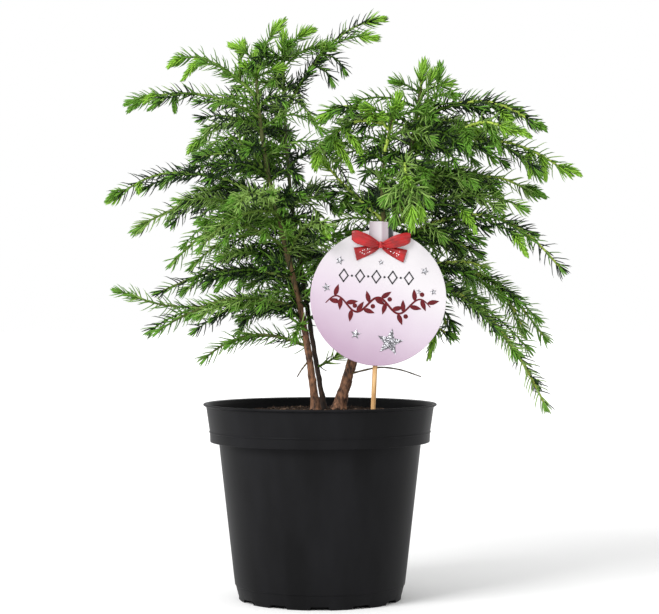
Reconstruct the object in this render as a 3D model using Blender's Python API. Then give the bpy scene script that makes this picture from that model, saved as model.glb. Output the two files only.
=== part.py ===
# Young Norfolk Island pine in a black nursery pot, with a bauble-shaped holiday pick.
# Three seedlings share the pot: left, middle, and right, which has a fork. Lengths are
# in millimetres until a mesh is made, and MM turns them into metres. The origin is the
# middle of the pot's underside, +Z is up, and the view from -Y is the front.
import math

import bmesh
import bpy
import numpy as np

MM = 0.001
FIT_GAP = 0.3            # clearance between pieces that touch

# Pot
POT_HEIGHT = 138.0
RIM_RADIUS = 82.5
RIM_THICK = 1.5
COLLAR_TOP_RADIUS = 80.2
COLLAR_FOOT_RADIUS = 77.6
COLLAR_FOOT_Z = 111.0
BEAD_Z = 118.2
BEAD_PROUD = 0.5
BODY_TOP_RADIUS = 71.5
BODY_FOOT_RADIUS = 60.2
BASE_STEP_Z = 10.3
BASE_STEP = 0.6
BASE_RADIUS = 57.5
BASE_EDGE = 1.0          # easing of the foot's outer edge
STEP_EASE = 0.4          # height over which the base step comes out
BEAD_BED = 0.4           # draft of the collar from its foot up to the bead
BEAD_TOP = 0.6           # the same, just above the bead
RIM_EDGE = 0.5           # easing of the rim's upper edge
RIM_DISH = 0.6           # fall of the rim towards its inner edge
POT_WALL = 1.6
POT_FLOOR = 2.0
FLOOR_CORNER = (0.6, 4.0)    # rise of the inner corner: outwards and upwards
POT_SIDES = 36
NOTCH_COUNT = 12
NOTCH_WIDTH = 14.0
NOTCH_HEIGHT = 2.4
NOTCH_DEPTH = 5.0

# Soil
SOIL_TOP = 133.7
SOIL_EDGE_TOP = 129.0
SOIL_PLATEAU = 34.0
SOIL_SHRINK = 0.2        # more clearance on slanted walls, whose flat sides cut inwards
SOIL_CORNER = (0.4, 4.2)     # as FLOOR_CORNER, from the soil's own foot
SOIL_RIM = 0.8           # outwards lean of the soil's edge, and crown half-way in

# Holiday pick: a thin round board with a cap, on a wooden skewer
BOARD_RADIUS = 46.7
BOARD_THICK = 2.0
BOARD_CENTRE = (40.2, -40.0, 212.6)
BOARD_LEAN = 2.6         # degrees, top to the right
BOARD_SIDES = 40
CAP_WIDTH = 17.0
CAP_RISE = 5.6
STICK_RADIUS = 1.65
STICK_TOP = 12.0         # above the board's centre
STICK_FOOT = -132.0      # below the board's centre, inside the soil
BOW_HALF_WIDTH = 20.3
BOW_RAISE = 36.4         # knot above the board's centre
BOW_THICK = 4.0
# Right half of the bow from the knot's top to its foot, in half-widths: loop, then tail
BOW_OUTLINE = [(0.14, 0.20), (0.55, 0.52), (0.95, 0.42), (0.97, 0.02), (0.55, -0.10),
               (0.92, -0.30), (0.86, -0.72), (0.55, -0.62), (0.14, -0.22)]
CAP_CROWN = 0.8          # rise of the cap's top edge at its middle
CAP_STEPS = 5
STICK_SIDES = 12

# Stems: foot and tip places, bow of the middle, sway of an S, radius at foot and tip
STEM_FOOT_Z = SOIL_TOP + FIT_GAP
STEMS = {
    "left": dict(foot=(-2.8, -6, STEM_FOOT_Z), tip=(-45, -8, 372),
                 bow=(-1.6, -2), sway=3.0, foot_radius=2.7, tip_radius=1.0, flare=0.55),
    "middle": dict(foot=(3.0, 6, STEM_FOOT_Z), tip=(-26, 13, 386),
                   bow=(-6, 3), sway=1.0, foot_radius=1.9, tip_radius=0.9, flare=0.4),
    "right": dict(foot=(13.0, 3, STEM_FOOT_Z), tip=(71.5, 6, 362),
                  bow=(5, 2), sway=-1.4, foot_radius=4.1, tip_radius=1.2, flare=0.45),
}
FORK = dict(foot=(46.6, 3.0, 256), tip=(52, -15, 342),
            bow=(-5, -2), sway=0.0, foot_radius=1.6, tip_radius=0.9, flare=0.0)
FLARE_HEIGHT = 5.0
STEM_SIDES = 8
STEM_RINGS = 10
STEM_CROWDING = 1.25     # power that draws a stem's rings towards its flared foot

# Boughs. Each row: stem, height on the stem, heading in degrees (0 right, 90 back,
# 180 left, 270 front), reach, lift of the arc's control point, fall of the tip,
# half-width of its foliage.
BOUGHS = {
    "left_1": ("left", 352, 172, 64, 40, 25, 15),
    "left_2": ("left", 339, 186, 94, 30, 8, 17),
    "left_3": ("left", 301, 196, 49, 18, 5, 14),
    "left_4": ("left", 278, 184, 118, 43, 3, 20),
    "left_5": ("left", 262, 172, 107, 43, -7, 20),
    "left_6": ("left", 247, 193, 80, 37, -12, 16),
    "left_7": ("left", 225, 177, 93, 18, -9, 18),
    "left_8": ("left", 205, 190, 101, 20, -16, 18),
    "left_9": ("left", 178, 180, 75, 20, -9, 14),
    "top": ("middle", 345, -6, 72, 72, 63, 17),
    "front_1": ("left", 266, 250, 76, 34, 8, 16),
    "front_2": ("left", 243, 296, 62, 28, 18, 14),
    "front_3": ("right", 290, 271, 78, 31, -3, 15),
    "back_1": ("middle", 318, 112, 82, 34, 8, 20),
    "back_2": ("middle", 268, 134, 108, 38, 2, 21),
    "back_3": ("middle", 234, 84, 110, 30, -8, 21),
    "back_4": ("right", 322, 74, 84, 32, 4, 20),
    "back_5": ("right", 276, 96, 112, 36, 0, 21),
    "back_6": ("right", 240, 52, 112, 38, -14, 21),
    "inner_1": ("fork", 330, 184, 50, 30, 4, 13),
    "inner_2": ("right", 262, 174, 52, 22, 52, 13),
    "right_1": ("right", 338, -4, 89, 28, -6, 16),
    "right_2": ("right", 316, -7, 114, 25, -16, 19),
    "right_3": ("right", 271, 9, 102, 50, 13, 20),
    "right_4": ("right", 243, -6, 126, 60, -9, 19),
    "right_5": ("right", 218, 10, 127, 43, -34, 20),
    "right_6": ("right", 204, -9, 125, 56, -66, 18),
    "right_7": ("right", 186, -12, 63, 19, 0, 13),
}
# Foliage that hides its own bough down to the stem
BARE_MASSES = ("left_3", "front_1", "front_2", "front_3", "inner_1", "inner_2", "right_7")
# Side sprays that fork off a mass's own bough: the mass, the share of its leafy arc
# where the fork is, then heading, reach, lift, fall and half-width as above
SIDE_SPRAYS = {
    "left_1b": ("left_1", 0.12, 75, 8, 12, 27, 11),
    "left_3b": ("left_3", 0.08, 160, 42, 34, 17, 12),
    "left_6b": ("left_6", 0.04, 160, 54, 0, -20, 12),
    "left_8b": ("left_8", 0.10, 168, 97, -12, 3, 12),
    "front_1b": ("front_1", 0.12, 215, 60, 6, -26, 13),
    "back_1b": ("back_1", 0.10, 158, 66, 22, -6, 13),
    "back_3b": ("back_3", 0.10, 130, 78, 8, -24, 14),
    "back_4b": ("back_4", 0.15, 32, 66, 18, -10, 13),
    "back_6b": ("back_6", 0.10, 96, 84, 8, -20, 15),
    "inner_1b": ("inner_1", 0.10, 170, 48, 12, -26, 13),
    "right_1b": ("right_1", 0.25, 24, 52, 6, -8, 13),
    "right_2b": ("right_2", 0.08, -46, 56, 20, 2, 14),
    "right_4b": ("right_4", 0.03, 18, 52, -2, -20, 13),
    "right_5b": ("right_5", 0.04, -16, 52, 12, 2, 12),
    "right_5c": ("right_5", 0.36, 2, 42, 2, -42, 12),
    "right_6b": ("right_6", 0.06, 26, 30, -6, -36, 12),
}
# Tufts that crown a stem: the stem, height above its tip, half-width
TUFTS = {"tuft_middle": ("middle", 16, 14), "tuft_right": ("right", 14, 13)}

ARC_POINTS = 40
TUFT_POINTS = 12
TUFT_LEAN_SPAN = 20      # top stretch of a stem that gives its tuft's direction
CREST_AT = 0.55          # the arc's control point along its reach
STEEP = 0.12             # a direction this near to upright has no level side of its own
BOUGH_SHARE = 0.18       # share of the arc that is a bare bough
BOUGH_FOOT_RADIUS = 1.5
BOUGH_END_RADIUS = 1.0
BOUGH_SIDES = 6
BOUGH_RINGS = 4
MASS_SIDES = 8
RING_STEP = 15.5         # along a spray
HALF_HEIGHT = 12.5       # needle reach above and below a spray's axis
TIP_OVERHANG = 6.0       # needles past the tip of the axis
SMALLEST_RADIUS = 1.2
NEIGHBOUR_GAP = 3.0      # between masses, with room for the flat facets
LIMB_GAP = 1.8           # between a mass and a stem or bough that passes it
LIMB_STEP = 2.0          # between the sample points along a stem
BOUGH_SAMPLES = 16
RADIAL_STEPS = 30
FOLD_SHARE = 0.86        # a spoke ends where its own axis is nearer than this share of it
# Half-width along a spray as shares of the full one: slim where it leaves the bough,
# full in the middle, slim at the tip
SWELL_AT = (0.0, 0.12, 0.4, 0.75, 0.93, 1.0)
SWELL_WIDTH = (0.42, 0.72, 1.0, 0.9, 0.62, 0.22)
# Waves that make a spray uneven: height, number round the spray, radians along it,
# share of the seed in its phase
LOBES = ((0.13, 3, 5.1, 1.0), (0.08, 2, -9.0, 2.3))

# Name of each material: its colour and roughness
MATERIALS = {
    "pot_plastic": ((0.016, 0.016, 0.018), 0.42),
    "soil": ((0.024, 0.012, 0.007), 0.95),
    "bark": ((0.100, 0.045, 0.022), 0.85),
    "bough_bark": ((0.140, 0.090, 0.030), 0.80),
    "needles": ((0.045, 0.130, 0.022), 0.60),
    "board_print": ((0.780, 0.660, 0.740), 0.50),
    "stick_wood": ((0.560, 0.340, 0.140), 0.70),
    "ribbon": ((0.480, 0.010, 0.012), 0.50),
}


# Materials and scene

def clear_scene():
    """Remove whatever objects the file was opened with."""
    for item in list(bpy.data.objects):
        bpy.data.objects.remove(item, do_unlink=True)


def make_material(name, colour, roughness):
    """A Principled material of one colour and roughness."""
    material = bpy.data.materials.new(name)
    material.use_nodes = True
    shader = material.node_tree.nodes["Principled BSDF"]
    shader.inputs["Base Color"].default_value = (*colour, 1.0)
    shader.inputs["Roughness"].default_value = roughness
    return material


def make_object(name, points, faces, material):
    """An object from points in millimetres and faces, normals facing out."""
    mesh = bpy.data.meshes.new(name)
    mesh.from_pydata((np.asarray(points) * MM).tolist(), [], faces)
    build = bmesh.new()
    build.from_mesh(mesh)
    bmesh.ops.recalc_face_normals(build, faces=build.faces)
    build.to_mesh(mesh)
    build.free()
    mesh.materials.append(material)
    item = bpy.data.objects.new(name, mesh)
    bpy.context.scene.collection.objects.link(item)
    return item


def add_boolean(item, other, operation):
    """Cut or join item with other, which becomes a guide that is not a piece."""
    modifier = item.modifiers.new(operation.title(), "BOOLEAN")
    modifier.operation = operation
    modifier.object = other
    other.hide_render = True
    other.display_type = "WIRE"


# Shapes

def ring_faces(ring_count, sides):
    """Faces of a tube of rings, with a flat cap on each end."""
    faces = [tuple(reversed(range(sides)))]
    for ring in range(ring_count - 1):
        for side in range(sides):
            near = ring * sides + side
            beside = ring * sides + (side + 1) % sides
            faces.append((near, beside, beside + sides, near + sides))
    faces.append(tuple(range((ring_count - 1) * sides, ring_count * sides)))
    return faces


def turned(name, profile, sides, material):
    """Turn a profile of (radius, z) about the Z axis; its ends lie on the axis."""
    angles = np.arange(sides) * 2 * math.pi / sides
    points = [(0.0, 0.0, profile[0][1])]
    for radius, z in profile[1:-1]:
        points += [(radius * math.cos(a), radius * math.sin(a), z) for a in angles]
    points.append((0.0, 0.0, profile[-1][1]))
    ring_total = len(profile) - 2
    faces = []
    for side in range(sides):
        after = (side + 1) % sides
        faces.append((0, 1 + after, 1 + side))
        for ring in range(ring_total - 1):
            low = 1 + ring * sides
            faces.append((low + side, low + after, low + sides + after, low + sides + side))
        top = 1 + (ring_total - 1) * sides
        faces.append((top + side, top + after, len(points) - 1))
    return make_object(name, points, faces, material)


def extruded(name, outline, near, far, material):
    """A flat outline of (x, z) given thickness from y = near to y = far."""
    count = len(outline)
    points = [(x, near, z) for x, z in outline] + [(x, far, z) for x, z in outline]
    faces = [tuple(range(count)), tuple(reversed(range(count, 2 * count)))]
    for index in range(count):
        after = (index + 1) % count
        faces.append((index, index + count, after + count, after))
    return make_object(name, points, faces, material)


def cross_frames(path):
    """For each point of a path: its direction, its level side and its underside."""
    along = np.gradient(path, axis=0)
    along /= np.linalg.norm(along, axis=1)[:, None]
    side = np.stack([-along[:, 1], along[:, 0], np.zeros(len(path))], axis=1)
    for index in np.nonzero(np.linalg.norm(side, axis=1) < STEEP)[0]:
        side[index] = (0.0, 1.0, 0.0)
    for index in range(1, len(side)):
        if side[index] @ side[index - 1] < 0:
            side[index] = -side[index]
    side -= along * np.sum(side * along, axis=1)[:, None]
    side /= np.linalg.norm(side, axis=1)[:, None]
    return along, side, np.cross(side, along)


# Where the limbs run

def stem_sizes(stem):
    return FORK if stem == "fork" else STEMS[stem]


def stem_point(stem, height):
    """Centre of a stem at a height: a straight lean, a bow and a slight S."""
    sizes = stem_sizes(stem)
    foot = np.array(sizes["foot"], float)
    tip = np.array(sizes["tip"], float)
    share = (height - foot[2]) / (tip[2] - foot[2])
    place = foot + (tip - foot) * share
    place[:2] += np.array(sizes["bow"]) * 4 * share * (1 - share)
    place[0] += sizes["sway"] * math.sin(2 * math.pi * share)
    return place


def stem_radius(stem, height):
    """A straight taper, with the root flare added near the foot."""
    sizes = stem_sizes(stem)
    share = (height - sizes["foot"][2]) / (sizes["tip"][2] - sizes["foot"][2])
    straight = sizes["foot_radius"] + (sizes["tip_radius"] - sizes["foot_radius"]) * share
    flare = sizes["flare"] * math.exp(-(height - sizes["foot"][2]) / FLARE_HEIGHT)
    return straight * (1 + flare)


def heading_vector(heading):
    turn = math.radians(heading)
    return np.array([math.cos(turn), math.sin(turn), 0.0])


def arc_from(foot, heading, reach, lift, fall):
    """Quadratic arc from a foot over a crest to a tip, in the heading's upright plane."""
    outward = heading_vector(heading)
    upward = np.array([0.0, 0.0, 1.0])
    crest = foot + outward * reach * CREST_AT + upward * lift
    tip = foot + outward * reach + upward * fall
    share = np.linspace(0, 1, ARC_POINTS)[:, None]
    return (1 - share) ** 2 * foot + 2 * share * (1 - share) * crest + share ** 2 * tip


def bough_arc(row):
    """Arc of a bough that starts on its stem's surface."""
    stem, height, heading, reach, lift, fall, _ = row
    clear = stem_radius(stem, height) + 2 * FIT_GAP
    foot = stem_point(stem, height) + heading_vector(heading) * clear
    return arc_from(foot, heading, reach, lift, fall)


def side_arc(axes, row):
    """Arc of a side spray that starts on its mass's own axis."""
    mass, fork_at, heading, reach, lift, fall, _ = row
    return arc_from(axes[mass][round(fork_at * (len(axes[mass]) - 1))], heading, reach, lift, fall)


def tuft_arc(stem, rise):
    """Straight axis of the tuft on top of a stem, along the stem's own lean."""
    tip = np.array(stem_sizes(stem)["tip"], float)
    below = stem_point(stem, tip[2] - TUFT_LEAN_SPAN)
    lean = (tip - below) / np.linalg.norm(tip - below)
    start = tip + lean * FIT_GAP
    return start + np.linspace(0, 1, TUFT_POINTS)[:, None] * lean * rise


def split_arc(arc):
    """The bare bough at the start of an arc, and the part inside the foliage."""
    steps = np.linalg.norm(np.diff(arc, axis=0), axis=1)
    run = np.concatenate([[0.0], np.cumsum(steps)])
    enter = run[-1] * BOUGH_SHARE
    bare = resample(arc, run, np.linspace(0, enter, BOUGH_RINGS))
    leafy = resample(arc, run, np.linspace(enter + FIT_GAP, run[-1], ARC_POINTS))
    return bare, leafy


def resample(points, run, wanted):
    """Points at the wanted distances along a path."""
    return np.stack([np.interp(wanted, run, points[:, k]) for k in range(3)], axis=1)


# Foliage masses

def nearest(points, others):
    """Distance from each point to the nearest of the other points."""
    return np.linalg.norm(points[:, None, :] - others[None, :, :], axis=2).min(axis=1)


def board_distance(points):
    """Distance from each point to the pick's board."""
    offset = points - np.array(BOARD_CENTRE)
    beyond = np.hypot(offset[:, 0], offset[:, 2]) - (BOARD_RADIUS + CAP_RISE)
    proud = np.abs(offset[:, 1] + BOW_THICK / 2) - (BOARD_THICK + BOW_THICK + STICK_RADIUS)
    return np.hypot(np.maximum(beyond, 0), np.maximum(proud, 0))


def swell(share):
    """Share of its full half-width that a spray has along its axis."""
    return np.interp(share, SWELL_AT, SWELL_WIDTH)


def spray_points(axis, half_width, rivals, limbs, seed):
    """Rings of an uneven spray, each point drawn in to its own side of its neighbours.

    rivals: points of the other masses' axes. limbs: points and radii of stems and boughs.
    """
    length = np.linalg.norm(np.diff(axis, axis=0), axis=1).sum()
    ring_count = max(4, int(length / RING_STEP) + 2)
    share = np.linspace(0, 1, ring_count)
    picks = share * (len(axis) - 1)
    centres = np.stack([np.interp(picks, np.arange(len(axis)), axis[:, k]) for k in range(3)], axis=1)
    along, side, under = cross_frames(centres)
    centres[-1] += along[-1] * TIP_OVERHANG
    turn = np.arange(MASS_SIDES) * 2 * math.pi / MASS_SIDES
    uneven = 1.0
    for height, lobes, twist, seed_share in LOBES:
        phase = twist * share[:, None] + seed_share * seed
        uneven = uneven + height * np.sin(lobes * turn[None, :] + phase)
    wide = np.cos(turn)[None, :] * swell(share)[:, None] * half_width * uneven
    deep = np.sin(turn)[None, :] * swell(share)[:, None] * min(HALF_HEIGHT, half_width) * uneven
    spokes = wide[..., None] * side[:, None, :] + deep[..., None] * under[:, None, :]
    full = np.linalg.norm(spokes, axis=2)
    middle = np.repeat(centres, MASS_SIDES, axis=0)
    spokes = (spokes / full[..., None]).reshape(-1, 3)
    full = full.reshape(-1)
    limb_points, limb_radii = limbs
    kept = np.full(len(full), SMALLEST_RADIUS)
    open_way = np.ones(len(full), bool)
    for step in np.linspace(0, 1, RADIAL_STEPS)[1:]:
        distance = np.maximum(SMALLEST_RADIUS, full * step)
        trial = middle + spokes * distance[:, None]
        own = nearest(trial, axis)
        clear = own > FOLD_SHARE * distance
        clear &= nearest(trial, rivals) > own + NEIGHBOUR_GAP
        gaps = np.linalg.norm(trial[:, None, :] - limb_points[None, :, :], axis=2) - limb_radii[None, :]
        clear &= gaps.min(axis=1) > LIMB_GAP
        clear &= board_distance(trial) > LIMB_GAP
        open_way &= clear
        kept = np.where(open_way, distance, kept)
    return middle + spokes * kept[:, None], ring_count


def make_spray(name, axis, half_width, rivals, limbs, seed, material):
    """One closed spray along an axis."""
    points, ring_count = spray_points(axis, half_width, rivals, limbs, seed)
    return make_object(name, points, ring_faces(ring_count, MASS_SIDES), material)


# The pieces

def make_pot(material):
    """Thin-walled pot with a flared rim, a collar, a bead and notches round the base."""
    inner_foot = BASE_RADIUS - POT_WALL
    slope = (BODY_TOP_RADIUS - BODY_FOOT_RADIUS) / (COLLAR_FOOT_Z - BASE_STEP_Z)
    collar_inner = COLLAR_FOOT_RADIUS - POT_WALL
    profile = [
        (0, 0),
        (BASE_RADIUS - BASE_EDGE, 0),
        (BASE_RADIUS, BASE_EDGE),
        (BODY_FOOT_RADIUS - BASE_STEP, BASE_STEP_Z),
        (BODY_FOOT_RADIUS, BASE_STEP_Z + STEP_EASE),
        (BODY_TOP_RADIUS - slope, COLLAR_FOOT_Z),
        (COLLAR_FOOT_RADIUS, COLLAR_FOOT_Z),
        (COLLAR_FOOT_RADIUS + BEAD_BED, BEAD_Z - BEAD_PROUD),
        (COLLAR_FOOT_RADIUS + BEAD_BED + BEAD_PROUD, BEAD_Z),
        (COLLAR_FOOT_RADIUS + BEAD_TOP, BEAD_Z + BEAD_PROUD),
        (COLLAR_TOP_RADIUS, POT_HEIGHT - 2 * RIM_THICK),
        (RIM_RADIUS, POT_HEIGHT - RIM_THICK),
        (RIM_RADIUS, POT_HEIGHT - RIM_EDGE),
        (RIM_RADIUS - RIM_EDGE, POT_HEIGHT),
        (COLLAR_TOP_RADIUS - RIM_DISH, POT_HEIGHT - RIM_DISH),
        (COLLAR_TOP_RADIUS - POT_WALL, POT_HEIGHT - 2 * RIM_THICK),
        (collar_inner, COLLAR_FOOT_Z + POT_WALL),
        (BODY_TOP_RADIUS - slope - POT_WALL, COLLAR_FOOT_Z + POT_WALL),
        (inner_foot + FLOOR_CORNER[0], POT_FLOOR + FLOOR_CORNER[1]),
        (inner_foot, POT_FLOOR),
        (0, POT_FLOOR),
    ]
    pot = turned("pot", profile, POT_SIDES, material)
    points = []
    faces = []
    for index in range(NOTCH_COUNT):
        turn = math.radians(270 + index * 360 / NOTCH_COUNT)
        outward = np.array([math.cos(turn), math.sin(turn)])
        beside = np.array([-outward[1], outward[0]])
        first = len(points)
        for z in (-1.0, NOTCH_HEIGHT):
            for reach, across in ((-1, -1), (1, -1), (1, 1), (-1, 1)):
                flat = outward * (BASE_RADIUS + reach * NOTCH_DEPTH) + beside * across * NOTCH_WIDTH / 2
                points.append((*flat, z))
        box = ((0, 3, 2, 1), (4, 5, 6, 7), (0, 1, 5, 4), (1, 2, 6, 5), (2, 3, 7, 6), (3, 0, 4, 7))
        faces += [tuple(first + corner for corner in face) for face in box]
    notches = make_object("notch_cutter", points, faces, material)
    add_boolean(pot, notches, "DIFFERENCE")


def make_soil(material, stick_material):
    """Potting soil that fills the pot to just under its rim, with the skewer's hole."""
    slope = (BODY_TOP_RADIUS - BODY_FOOT_RADIUS) / (COLLAR_FOOT_Z - BASE_STEP_Z)
    room = POT_WALL + FIT_GAP
    profile = [
        (0, POT_FLOOR + FIT_GAP),
        (BASE_RADIUS - room - SOIL_SHRINK, POT_FLOOR + FIT_GAP),
        (BASE_RADIUS - room + SOIL_CORNER[0], POT_FLOOR + SOIL_CORNER[1]),
        (BODY_TOP_RADIUS - slope - room - SOIL_SHRINK, COLLAR_FOOT_Z + POT_WALL + FIT_GAP),
        (COLLAR_FOOT_RADIUS - room - SOIL_SHRINK, COLLAR_FOOT_Z + POT_WALL + FIT_GAP),
        (COLLAR_FOOT_RADIUS - room + SOIL_RIM, SOIL_EDGE_TOP),
        ((COLLAR_FOOT_RADIUS + SOIL_PLATEAU) / 2, (SOIL_TOP + SOIL_EDGE_TOP) / 2 + SOIL_RIM),
        (SOIL_PLATEAU, SOIL_TOP),
        (0, SOIL_TOP),
    ]
    soil = turned("soil", profile, POT_SIDES, material)
    drill = make_stick("skewer_hole_cutter", STICK_RADIUS + FIT_GAP, STICK_FOOT - 2 * FIT_GAP,
                       STICK_TOP, stick_material)
    add_boolean(soil, drill, "DIFFERENCE")


def pick_point(across, depth, raised):
    """A place on the pick, measured from the board's centre along its own lean."""
    lean = math.radians(BOARD_LEAN)
    x = BOARD_CENTRE[0] + across * math.cos(lean) + raised * math.sin(lean)
    z = BOARD_CENTRE[2] + raised * math.cos(lean) - across * math.sin(lean)
    return x, BOARD_CENTRE[1] + depth, z


def make_stick(name, radius, foot, top, material):
    """Round skewer behind the board, from foot to top along the pick's lean."""
    behind = BOARD_THICK / 2 + STICK_RADIUS + FIT_GAP
    points = []
    for raised in (foot, top):
        for index in range(STICK_SIDES):
            turn = index * 2 * math.pi / STICK_SIDES
            points.append(pick_point(radius * math.cos(turn), behind + radius * math.sin(turn), raised))
    return make_object(name, points, ring_faces(2, STICK_SIDES), material)


def make_board(material):
    """Round board with the short cap of a bauble on top, one die-cut outline."""
    half_angle = math.asin(CAP_WIDTH / 2 / BOARD_RADIUS)
    outline = []
    for turn in np.linspace(math.pi / 2 + half_angle, 2.5 * math.pi - half_angle, BOARD_SIDES):
        outline.append((BOARD_RADIUS * math.cos(turn), BOARD_RADIUS * math.sin(turn)))
    for across in np.linspace(1, -1, CAP_STEPS):
        top = BOARD_RADIUS + CAP_RISE - CAP_CROWN * across ** 2
        outline.append((across * CAP_WIDTH / 2, top))
    placed = [pick_point(across, 0, raised) for across, raised in outline]
    flat = [(x, z) for x, _, z in placed]
    y = BOARD_CENTRE[1]
    extruded("pick_board", flat, y - BOARD_THICK / 2, y + BOARD_THICK / 2, material)


def make_bow(material):
    """Ribbon bow: two loops, a knot and two forked tails, in front of the board's top."""
    outline = BOW_OUTLINE + [(-x, z) for x, z in reversed(BOW_OUTLINE)]
    placed = [pick_point(x * BOW_HALF_WIDTH, 0, BOW_RAISE + z * BOW_HALF_WIDTH) for x, z in outline]
    far = BOARD_CENTRE[1] - BOARD_THICK / 2 - FIT_GAP
    extruded("pick_bow", [(x, z) for x, _, z in placed], far - BOW_THICK, far, material)


def make_stem(name, stem, material):
    """A stem of level rings, so that its foot is a flat level cut."""
    sizes = stem_sizes(stem)
    share = np.linspace(0, 1, STEM_RINGS) ** STEM_CROWDING
    heights = sizes["foot"][2] + share * (sizes["tip"][2] - sizes["foot"][2])
    points = []
    for height in heights:
        centre = stem_point(stem, height)
        radius = stem_radius(stem, height)
        for index in range(STEM_SIDES):
            turn = index * 2 * math.pi / STEM_SIDES
            points.append(centre + radius * np.array([math.cos(turn), math.sin(turn), 0.0]))
    return make_object(name, points, ring_faces(len(heights), STEM_SIDES), material)


def make_bough(name, path, material):
    """Tapering limb along a path, its first ring upright against the stem."""
    along, side, under = cross_frames(path)
    under[0] = (0.0, 0.0, -1.0)
    side[0] = np.cross(along[0], under[0])
    side[0] /= np.linalg.norm(side[0])
    radii = np.linspace(BOUGH_FOOT_RADIUS, BOUGH_END_RADIUS, len(path))
    points = []
    for index, centre in enumerate(path):
        for corner in range(BOUGH_SIDES):
            turn = corner * 2 * math.pi / BOUGH_SIDES
            spoke = math.cos(turn) * side[index] + math.sin(turn) * under[index]
            points.append(centre + radii[index] * spoke)
    return make_object(name, points, ring_faces(len(path), BOUGH_SIDES), material)


def limb_samples(bare_boughs):
    """Points and radii along every stem and every bare bough."""
    points = []
    radii = []
    for stem in (*STEMS, "fork"):
        sizes = stem_sizes(stem)
        for height in np.arange(sizes["foot"][2], sizes["tip"][2], LIMB_STEP):
            points.append(stem_point(stem, height))
            radii.append(stem_radius(stem, height))
    for path in bare_boughs.values():
        for share in np.linspace(0, 1, BOUGH_SAMPLES):
            place = share * (len(path) - 1)
            points.append([np.interp(place, np.arange(len(path)), path[:, k]) for k in range(3)])
            radii.append(BOUGH_FOOT_RADIUS)
    return np.array(points), np.array(radii)


def main():
    clear_scene()
    materials = {name: make_material(name, *look) for name, look in MATERIALS.items()}
    make_pot(materials["pot_plastic"])
    make_soil(materials["soil"], materials["stick_wood"])
    make_stick("pick_stick", STICK_RADIUS, STICK_FOOT, STICK_TOP, materials["stick_wood"])
    make_board(materials["board_print"])
    make_bow(materials["ribbon"])
    for stem in (*STEMS, "fork"):
        make_stem("stem_" + stem, stem, materials["bark"])

    bare_boughs = {}
    axes = {}
    owner = {}
    widths = {}
    for name, row in BOUGHS.items():
        arc = bough_arc(row)
        if name in BARE_MASSES:
            axes[name] = arc
        else:
            bare_boughs[name], axes[name] = split_arc(arc)
        owner[name] = name
        widths[name] = row[-1]
    for name, row in SIDE_SPRAYS.items():
        axes[name] = side_arc(axes, row)
        owner[name] = row[0]
        widths[name] = row[-1]
    for name, (stem, rise, half_width) in TUFTS.items():
        axes[name] = tuft_arc(stem, rise)
        owner[name] = name
        widths[name] = half_width

    for name, path in bare_boughs.items():
        make_bough("bough_" + name, path, materials["bough_bark"])
    limbs = limb_samples(bare_boughs)
    masses = {}
    for seed, (name, axis) in enumerate(axes.items()):
        rivals = np.concatenate([axes[other] for other in axes if owner[other] != owner[name]])
        spray = make_spray("foliage_" + name, axis, widths[name], rivals, limbs, seed,
                           materials["needles"])
        if owner[name] == name:
            masses[name] = spray
        else:
            add_boolean(masses[owner[name]], spray, "UNION")


main()
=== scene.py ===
import math

import bpy
import numpy as np
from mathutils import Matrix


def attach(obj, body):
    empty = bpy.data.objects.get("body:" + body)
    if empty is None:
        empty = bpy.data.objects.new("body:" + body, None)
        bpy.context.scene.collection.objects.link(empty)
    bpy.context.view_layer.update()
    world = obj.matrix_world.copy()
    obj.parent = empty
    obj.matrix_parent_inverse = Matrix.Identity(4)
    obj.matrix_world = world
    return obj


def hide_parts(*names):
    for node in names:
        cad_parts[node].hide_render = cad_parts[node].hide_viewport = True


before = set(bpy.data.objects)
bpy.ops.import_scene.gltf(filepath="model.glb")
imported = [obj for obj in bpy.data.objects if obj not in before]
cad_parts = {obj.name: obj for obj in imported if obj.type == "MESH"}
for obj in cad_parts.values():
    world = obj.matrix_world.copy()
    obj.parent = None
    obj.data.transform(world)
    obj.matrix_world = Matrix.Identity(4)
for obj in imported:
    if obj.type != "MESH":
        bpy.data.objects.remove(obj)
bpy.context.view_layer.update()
mm = 0.001  # sizes below are in millimetres, and meshes are stored in metres
upward = np.array([0.0, 0.0, 1.0])
foliageNodes = [name for name in sorted(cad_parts) if name.startswith("foliage_")]
boughNodes = [name for name in sorted(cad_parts) if name.startswith("bough_")]
print("frame loaded:", len(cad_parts), "solids")


# Meshes

# One mesh from points in millimetres and sets of three- or four-cornered faces
def putMesh(name, points, faceSets, material, smooth=True):
    corners = np.concatenate([faces.ravel() for faces in faceSets]).astype(np.int32)
    sizes = np.concatenate([np.full(len(faces), faces.shape[1]) for faces in faceSets])
    starts = np.concatenate([[0], np.cumsum(sizes)[:-1]]).astype(np.int32)
    mesh = bpy.data.meshes.new(name)
    mesh.vertices.add(len(points))
    mesh.vertices.foreach_set("co", (points * mm).astype(np.float32).ravel())
    mesh.loops.add(len(corners))
    mesh.loops.foreach_set("vertex_index", corners)
    mesh.polygons.add(len(sizes))
    mesh.polygons.foreach_set("loop_start", starts)
    mesh.polygons.foreach_set("use_smooth", np.full(len(sizes), smooth))
    mesh.update(calc_edges=True)
    mesh.materials.append(material)
    piece = bpy.data.objects.new(name, mesh)
    bpy.context.scene.collection.objects.link(piece)
    return piece


# A finished piece rides on the pot's body, takes the finish it is given and stands for its
# solids. Edges that turn by more than the sharp angle, in degrees, stay crisp
def addPiece(name, surface, material, nodes=(), smooth=True, sharp=None):
    piece = putMesh(name, *surface, material, smooth)
    if sharp is not None:
        piece.data.set_sharp_from_angle(angle=math.radians(sharp))
    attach(piece, "root")
    if nodes:
        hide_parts(*nodes)


# Angles of the points of a ring: full turn * k / count
def ringAngles(count):
    return np.arange(count) * 2 * math.pi / count


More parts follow.
